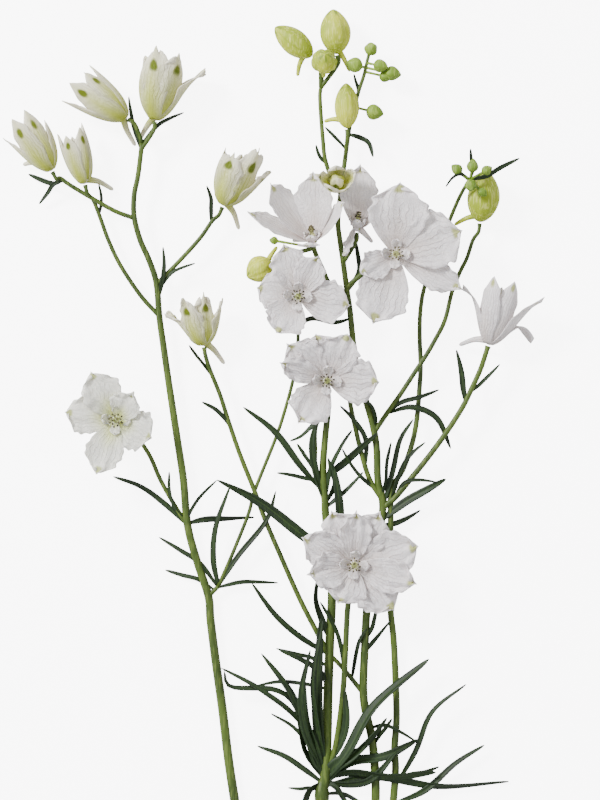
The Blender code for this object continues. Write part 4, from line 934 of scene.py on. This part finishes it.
@dataclass
class Sepal:
    """One sepal or inner petal, from the receptacle's rim to its tip."""

    centre: Vector
    axis: Vector
    tip: Vector
    width: float
    bow: float
    seed: int
    foot: float = 0.0012
    cup: float = 0.10
    ruffle: float = PLAIN_RUFFLE
    widest: float = 0.64
    notch: float = 0.0

    def build(self, name: str, along: int = 34, across: int = 20) -> bpy.types.Object:
        """Shape the sepal.

        Args:
            name: the piece's name.
            along: cells from foot to tip.
            across: cells from side to side.

        Returns:
            The sepal as a thin closed blade.
        """
        reach = self.tip - self.centre
        out = (reach - self.axis * reach.dot(self.axis)).normalized()
        start = self.centre + out * self.foot
        line = self.tip - start
        d = line.normalized()
        cos_f = d.dot(self.axis)
        sin_f = math.sqrt(max(0.0, 1 - cos_f * cos_f))
        inward = (self.axis * sin_f - out * cos_f).normalized()
        side = d.cross(inward).normalized()
        half = self.width * MM / 2
        s = self.seed

        def place(u: float, v: float) -> Vector:
            """Point of the sepal: bowed, cupped, then waved towards its edges and tip."""
            late = max(0.0, u - 0.35)
            share = outline(u, max(0.20, 1.8 / self.width), self.widest, 0.05)
            share *= 1 + 0.13 * late * math.sin(15 * u + 3 * s + one_side(v, 4))
            share *= 1 + 0.16 * late * math.sin(34 * u + 5 * s + one_side(v, 2))
            point = 0.03 * max(0.0, 1 - 3.2 * abs(v)) * u ** 5
            p = start + line * (u * (1 - 0.09 * v * v * u + point)
                                - 0.03 * self.notch * (1 - v * v) * u)
            p -= inward * (self.bow * MM * 4 * u * (1 - u))
            p += inward * (self.cup * self.width * MM * v * v * share * (1 - 0.5 * u))
            edge = abs(v) ** 2 * u
            wave = math.sin(13 * u + 2.1 * s + one_side(v, 1.7)) * edge
            wave += 0.8 * math.sin(5.2 * v + 1.3 * s) * u * u
            wave += 0.65 * math.sin(11 * v + 4 * u + s) * u ** 3
            wave += 0.9 * math.sin(27 * u + 1.3 * s + one_side(v, 2.6)) * edge * abs(v)
            wave += 0.42 * math.cos(9.5 * v + 0.7 * s) * u * (1 - 0.4 * u)
            p += inward * (self.ruffle * 0.78 * MM * wave)
            p += inward * (0.22 * MM * noise.noise(p * 260 + Vector((s, 0, 0))) * u)
            return p + side * (half * share * v)

        return sheet_blade(name, along, across, place, SEPAL_THICK, 1.25)


def spur_tube(name: str, first: Vector, bend: Vector, end: Vector, thick: float, thin: float
              ) -> bpy.types.Object:
    """Spur that narrows from the bloom to its blunt tip."""
    route = smooth_route([first, bend, end], 8)
    radii = taper(route, thick, thin)
    radii[-1] *= 0.55
    return tube(name, route, radii, 4)


@dataclass
class OpenBloom:
    """Open bloom: sepals, four small inner petals, spur and a ring of stamens."""

    name: str
    petal_finish: bpy.types.Material
    heart_finish: bpy.types.Material
    filament_finish: bpy.types.Material
    order: int
    dish_top: float = 0.0014
    dish_radius: float = 0.0019
    faces_up: float = 60          # an axis steeper than this leaves room for the stamens
    petals: int = 4
    petal_spread: tuple[float, float] = (0.0060, 0.0032)
    spur_radii: tuple[float, float] = (0.0014, 0.0007)
    spur_drop: float = 0.55       # how far a spur's tip sinks, as a share of its length
    stamens: int = 15
    thread_radii: tuple[float, float] = (0.00016, 0.00012)
    drawn_in: float = 0.42        # spread of the stamens of a bloom seen from the side
    anther_reach: float = 0.0005
    anther_radius: float = 0.00036

    def build(self) -> list[bpy.types.Object]:
        """Build the bloom's petals and its heart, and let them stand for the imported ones."""
        _carrier, spot, axis, spur, tips = BLOOMS[self.name]
        centre, up = sheet(*spot), heading(*axis)
        ring = up.orthogonal().normalized()
        around = up.cross(ring)
        wide = axis[1] > self.faces_up
        made = [ball(self.name + "_dish", centre - up * DISH_DEPTH, centre + up * self.dish_top,
                     lambda t, a: self.dish_radius * math.sin(math.pi * t) ** 0.4, 10, 20)]
        for k, (x, y, z, width, bow) in enumerate(tips):
            made.append(Sepal(centre, up, sheet(x, y, z), width * FULLER.get(self.name, 1.0), bow,
                              self.order * 7 + k, ruffle=RUFFLE.get(self.name, PLAIN_RUFFLE),
                              notch=float(k % 2)).build(self.name + "_sepal"))
        spread = self.petal_spread[0 if wide else 1]
        for k in range(self.petals):
            a = math.radians(40 + 360 / self.petals * k)
            way = ring * math.cos(a) + around * math.sin(a)
            made.append(Sepal(centre, up, centre + way * spread + up * 0.0042, 4.2, 0.6,
                              self.order + k, foot=0.0008, ruffle=0.6, widest=0.7,
                              notch=1.0).build(self.name + "_petal", 12, 8))
        back = heading(spur[0])
        first = centre + back * 0.0012 + up * (0.0 if axis[1] > 45 else 0.0008)
        end = centre + back * spur[1] * MM
        end.z = max(1.3 * MM, centre.z - self.spur_drop * spur[1] * MM)
        bend = first.lerp(end, 0.5) + Vector((0, 0, 0.0012))
        made.append(spur_tube(self.name + "_spur", first, bend, end, *self.spur_radii))
        petals = finished(self.name + "_petals", made, self.petal_finish)
        return [seated(petals, self.name),
                *self.heart(centre, up, ring, around, wide)]

    def heart(self, centre: Vector, up: Vector, ring: Vector, around: Vector, wide: bool
              ) -> list[bpy.types.Object]:
        """Build the stamens: pale filaments that curve out, each with a dark anther.

        Args:
            centre: the bloom's middle.
            up: its axis.
            ring: a direction across the axis.
            around: the other direction across it.
            wide: whether the stamens may spread.

        Returns:
            The filaments and the anthers.
        """
        threads = [ball(self.name + "_dome", centre + up * 0.0017, centre + up * 0.0034,
                        lambda t, a: 0.0013 * math.sin(math.pi * t) ** 0.5, 8, 14)]
        heads = []
        for k in range(self.stamens):
            a = GOLDEN_ANGLE * k + self.order
            f = k / (self.stamens - 1)
            way = ring * math.cos(a) + around * math.sin(a)
            far = (0.0007 + 0.0022 * math.sqrt(f)) * (1.0 if wide else self.drawn_in)
            foot = centre + up * 0.0026 + way * 0.0005
            top = centre + up * (0.0068 - 0.0022 * f + 0.0004 * math.sin(5 * k)) + way * far
            mid = foot.lerp(top, 0.55) + up * 0.0006
            route = smooth_route([foot, mid, top], 4)
            threads.append(tube(self.name + "_thread", route,
                                taper(route, *self.thread_radii), 1))
            tilt = (way * 0.8 + around * math.sin(k)).normalized()
            tilt *= self.anther_reach
            heads.append(ball(self.name + "_anther", top - tilt, top + tilt,
                              lambda t, b: self.anther_radius * math.sin(math.pi * t) ** 0.6,
                              6, 8))
        pair = []
        for name, made, finish in ((self.name + "_threads", threads, self.filament_finish),
                                   (self.name + "_anthers", heads, self.heart_finish)):
            pair.append(seated(finished(name, made, finish), self.name + "_heart"))
        return pair


@dataclass(frozen=True)
class Rim:
    """Shares for a half-open bloom's sepals: width, widest place, blunt tip, waves, girth."""

    full: float
    widest: float
    blunt: float
    wave: float
    girth: float


FREE_RIM = Rim(1.06, 0.74, 0.26, 1.0, 1.0)
DRAWN_IN_RIM = Rim(0.86, 0.56, 0.04, 0.10, 0.90)


@dataclass
class HalfOpenBloom:
    """Half-open bloom: a cup of overlapping sepals round folded inner petals, with a spur."""

    name: str
    petal_finish: bpy.types.Material
    order: int
    dish_top: float = 0.0042
    dish_radius: float = 0.0026
    spur_reach: float = 0.0105
    spur_radii: tuple[float, float] = (0.0015, 0.0008)

    def sepal(self, base: Vector, up: Vector, sepal_tip: tuple[float, float, float], k: int
              ) -> bpy.types.Object:
        """One sepal wrapped round the axis. Its side view is one cubic curve.

        Args:
            base: the bloom's base.
            up: its axis.
            sepal_tip: angle round the axis, distance along and from the axis of the tip.
            k: the sepal's place in the ring.

        Returns:
            The sepal as a thin closed blade.
        """
        wide, length = CUPS[self.name][3], CUPS[self.name][4]
        turn, along_tip, out_tip = sepal_tip
        across_way = Vector((up.y, -up.x, 0)).normalized()
        lift = across_way.cross(up)
        lift = lift if lift.z > 0 else -lift
        corners = ((1.5, 0.4), (wide * 0.98, length * 0.22), (wide * 1.1, length * 0.80),
                   (out_tip, along_tip))
        s = self.order * 5 + k
        rim = DRAWN_IN_RIM if self.name in CLOSE_NEIGHBOURS else FREE_RIM

        def place(u: float, v: float) -> Vector:
            """Point of the sepal: wrapped round the axis, then waved towards its edges."""
            w = 1 - u
            share = (w ** 3, 3 * w * w * u, 3 * w * u * u, u ** 3)
            out = sum(b * c[0] for b, c in zip(share, corners))
            rise = sum(b * c[1] for b, c in zip(share, corners))
            width = rim.full * outline(u, 0.34, rim.widest, rim.blunt)
            width *= 1 + 0.07 * math.sin(12 * u + 2 * s + v)
            width *= 1 + 0.16 * max(0.0, u - 0.4) * math.sin(31 * u + 4 * s + one_side(v, 2))
            a = math.radians(turn) + v * wide * 0.80 * width / max(out, 2.0)
            edge = v * v * u
            out += (k % 2) * 0.4 - 0.8 * edge
            ruffle = math.sin(14 * u + 2.3 * s + one_side(v, 1.9)) * edge
            ruffle += 0.8 * math.sin(6.5 * v + 1.7 * s) * u ** 5
            ruffle += 0.55 * math.sin(7 * v + 5 * u + s) * u * u
            ruffle += 0.50 * math.cos(2.6 * math.pi * v + 0.4 * s) * u * (1.15 - u)
            out = (out + ruffle * rim.wave) * rim.girth
            tip_wave = 0.9 * math.sin(9 * v + s) + 0.9 * max(0.0, 1 - 3 * abs(v))
            rise += rim.wave * tip_wave * u ** 4
            rise -= 2.2 * v * v * u ** 4
            way = across_way * math.cos(a) + lift * math.sin(a)
            p = up * rise + way * out
            return base + (p - lift * (p.dot(lift) * 0.06)) * MM

        return sheet_blade(self.name + "_sepal", 26, 16, place, SEPAL_THICK, 1.2)

    def build(self) -> list[bpy.types.Object]:
        """Build the half-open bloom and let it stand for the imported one."""
        _carrier, spot, axis, wide, length, spur, tips = CUPS[self.name]
        centre, up = sheet(*spot), heading(*axis)
        made = [ball(self.name + "_dish", centre, centre + up * self.dish_top,
                     lambda t, a: self.dish_radius * math.sin(math.pi * t) ** 0.5, 12, 24)]
        for k, tip in enumerate(tips):
            made.append(self.sepal(centre, up, tip, k))
        made.append(ball(self.name + "_folded", centre + up * 0.001,
                         centre + up * length * 0.8 * MM,
                         lambda t, a: wide * 0.48 * MM * math.sin(math.pi * t ** 0.85) ** 0.8
                         * (1 - 0.24 * (0.5 + 0.5 * math.cos(4 * a + 2 * t))), 22, 36))
        back = heading(spur)
        first = centre + up * 0.0022 + back * 0.0010
        end = first + back * self.spur_reach - up * 0.001
        end.z = max(1.6 * MM, centre.z - 7.2 * MM)
        bend = first.lerp(end, 0.5) + up * 0.0012
        made.append(spur_tube(self.name + "_spur", first, bend, end, *self.spur_radii))
        return [seated(finished(self.name + "_petals", made, self.petal_finish), self.name)]


@dataclass
class ClosedBud:
    """Closed bud: five sepals folded together, with shallow seams and a spur."""

    name: str
    skin: bpy.types.Material
    spur_radii: tuple[float, float] = (0.0013, 0.0007)

    def build(self) -> list[bpy.types.Object]:
        """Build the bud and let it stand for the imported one."""
        _carrier, spot, tip, width, spur = BUDS[self.name]
        base, end = sheet(*spot), sheet(*tip)
        up = (end - base).normalized()
        half = width * MM / 2
        made = [ball(self.name + "_body", base, end, lambda t, a: (
            half * math.sin(math.pi * t ** 0.9) ** 0.62
            * (1 - 0.10 * max(0.0, math.cos(5 * a + 1.2 * t)) ** 3)
            * (1 + 0.02 * math.sin(9 * a + 7 * t))), 26, 50)]
        back = heading(spur[0])
        first = base + up * 0.003
        last = first + back * spur[1] * MM
        last.z = max(0.0013, base.z - spur[2] * MM)
        bend = first.lerp(last, 0.55) + up * 0.0008
        made.append(spur_tube(self.name + "_spur", first, bend, last, *self.spur_radii))
        return [seated(finished(self.name + "_skin", made, self.skin), self.name)]


@dataclass
class Studio:
    """Pale table, soft light and the camera that looks straight down."""

    view_middle: tuple[float, float] = (300, 400)
    view_height: float = 0.320
    lens: float = 135.0
    sensor: float = 36.0
    lamp_height: float = 1.1
    subject_height: float = 0.008

    def build(self) -> None:
        """Set the table, the lights and the camera."""
        deselect()
        bpy.ops.mesh.primitive_plane_add(size=6.0, location=(0, 0.1, 0))
        table = take_active("table")
        bpy.ops.object.transform_apply(location=True)
        table.data.materials.append(self.table_finish())
        aim = sheet(*self.view_middle)
        for name, x, y, size, power in (("key", -1.2, 0.9, 0.5, 60.0),
                                        ("fill", 0.9, -0.1, 1.4, 2.0)):
            lamp = bpy.data.lights.new(name, "AREA")
            lamp.shape = "DISK"
            lamp.size = size
            lamp.energy = power
            ob = bpy.data.objects.new(name, lamp)
            bpy.context.scene.collection.objects.link(ob)
            ob.location = aim + Vector((x, y, self.lamp_height))
            ob.rotation_euler = (aim - ob.location).to_track_quat("-Z", "Y").to_euler()
        world = bpy.data.worlds.new("studio")
        world.use_nodes = True
        sky = world.node_tree.nodes["Background"]
        Nodes(world.node_tree).fill(sky, {"Color": (0.97, 0.98, 1.0, 1.0), "Strength": 0.85})
        bpy.context.scene.world = world
        data = bpy.data.cameras.new("camera")
        data.lens = self.lens
        data.sensor_width = self.sensor
        data.clip_start = 0.01
        camera = bpy.data.objects.new("camera", data)
        bpy.context.scene.collection.objects.link(camera)
        distance = self.view_height * self.lens / self.sensor
        camera.location = (aim.x, aim.y, distance + self.subject_height)
        bpy.context.scene.camera = camera

    @staticmethod
    def table_finish() -> bpy.types.Material:
        """Matte near-white table whose glow only the camera sees, so it lights no bloom."""
        mat = bpy.data.materials.new("table_white")
        mat.use_nodes = True
        shader = mat.node_tree.nodes["Principled BSDF"]
        n = Nodes(mat.node_tree)
        n.fill(shader, {"Base Color": (0.90, 0.90, 0.90, 1.0), "Roughness": 0.9,
                        "Emission Color": (1.0, 0.99, 1.0, 1.0)})
        seen = n.add("ShaderNodeLightPath")
        n.link(n.math("MULTIPLY", seen.outputs["Is Camera Ray"], 7.0),
               shader.inputs["Emission Strength"])
        return mat


def main() -> None:
    """Build the studio, the greenery and every bloom and bud."""
    logging.basicConfig(level=logging.INFO)
    Studio().build()
    veins = make_vein_group()
    # White finish: its foot colour is painted shade, a mauve-brown darkening towards each sepal's
    # foot.
    white = SepalFinish(
        "sepal_white", white=(0.93, 0.865, 0.86), vein=(0.46, 0.36, 0.37),
        foot=(0.55, 0.43, 0.36), spot=(0.32, 0.36, 0.02), vein_share=0.42, foot_tint_and_shade_share=0.60,
        spot_share=0.80, foot_tint_and_shade_reach=0.62, spot_at=0.87).build(veins)
    lemon = SepalFinish(
        "sepal_lemon", white=(0.93, 0.91, 0.80), vein=(0.60, 0.60, 0.55),
        foot=(0.60, 0.66, 0.16), spot=(0.33, 0.38, 0.06), vein_share=0.30, foot_tint_and_shade_share=0.90,
        spot_share=0.80, foot_tint_and_shade_reach=0.55, spot_at=0.87).build(veins)
    cream = SepalFinish(
        "sepal_cream", white=(0.92, 0.86, 0.66), vein=(0.48, 0.43, 0.20),
        foot=(0.42, 0.47, 0.02), spot=(0.10, 0.14, 0.001), vein_share=0.50, foot_tint_and_shade_share=0.95,
        spot_share=1.0, foot_tint_and_shade_reach=1.15, spot_at=0.72).build(veins)
    stalk = GreenFinish("stalk_green", (0.032, 0.060, 0.006), (0.070, 0.115, 0.012),
                        (0.19, 0.25, 0.05), 0.4, 0.45).build()
    leaf = GreenFinish("leaf_dark_green", (0.005, 0.014, 0.003), (0.011, 0.028, 0.006),
                       (0.040, 0.080, 0.012), 0.30, 0.50, along_uv=True).build()
    young = GreenFinish("young_green", (0.12, 0.22, 0.012), (0.22, 0.34, 0.03),
                        (0.45, 0.55, 0.12), 0.5, 0.5).build()
    skin = GreenFinish("bud_skin", (0.30, 0.38, 0.010), (0.58, 0.62, 0.04),
                       (0.82, 0.82, 0.24), 0.5, 0.5, tip_spots=True).build()
    anther = GreenFinish("anther_dark", (0.035, 0.028, 0.018), (0.10, 0.08, 0.04),
                         (0.22, 0.19, 0.08), 0.5, 0.6).build()
    thread = GreenFinish("filament_pale", (0.38, 0.42, 0.14), (0.55, 0.56, 0.24),
                         (0.70, 0.70, 0.42), 0.5, 0.5).build()
    made = Greenery(stalk, leaf, young).build()
    for i, name in enumerate(BLOOMS):
        petal = lemon if name in LEMON_BLOOMS else white
        made += OpenBloom(name, petal, anther, thread, i).build()
    for i, name in enumerate(CUPS):
        made += HalfOpenBloom(name, white if is_white(name) else cream, i).build()
    for name in BUDS:
        made += ClosedBud(name, skin).build()
    total = 0
    for piece in made:
        piece.data.calc_loop_triangles()
        count = len(piece.data.loop_triangles)
        total += count
        log.info("%s: %d triangles", piece.name, count)
    log.info("all pieces: %d triangles", total)


if __name__ == "__main__":
    main()
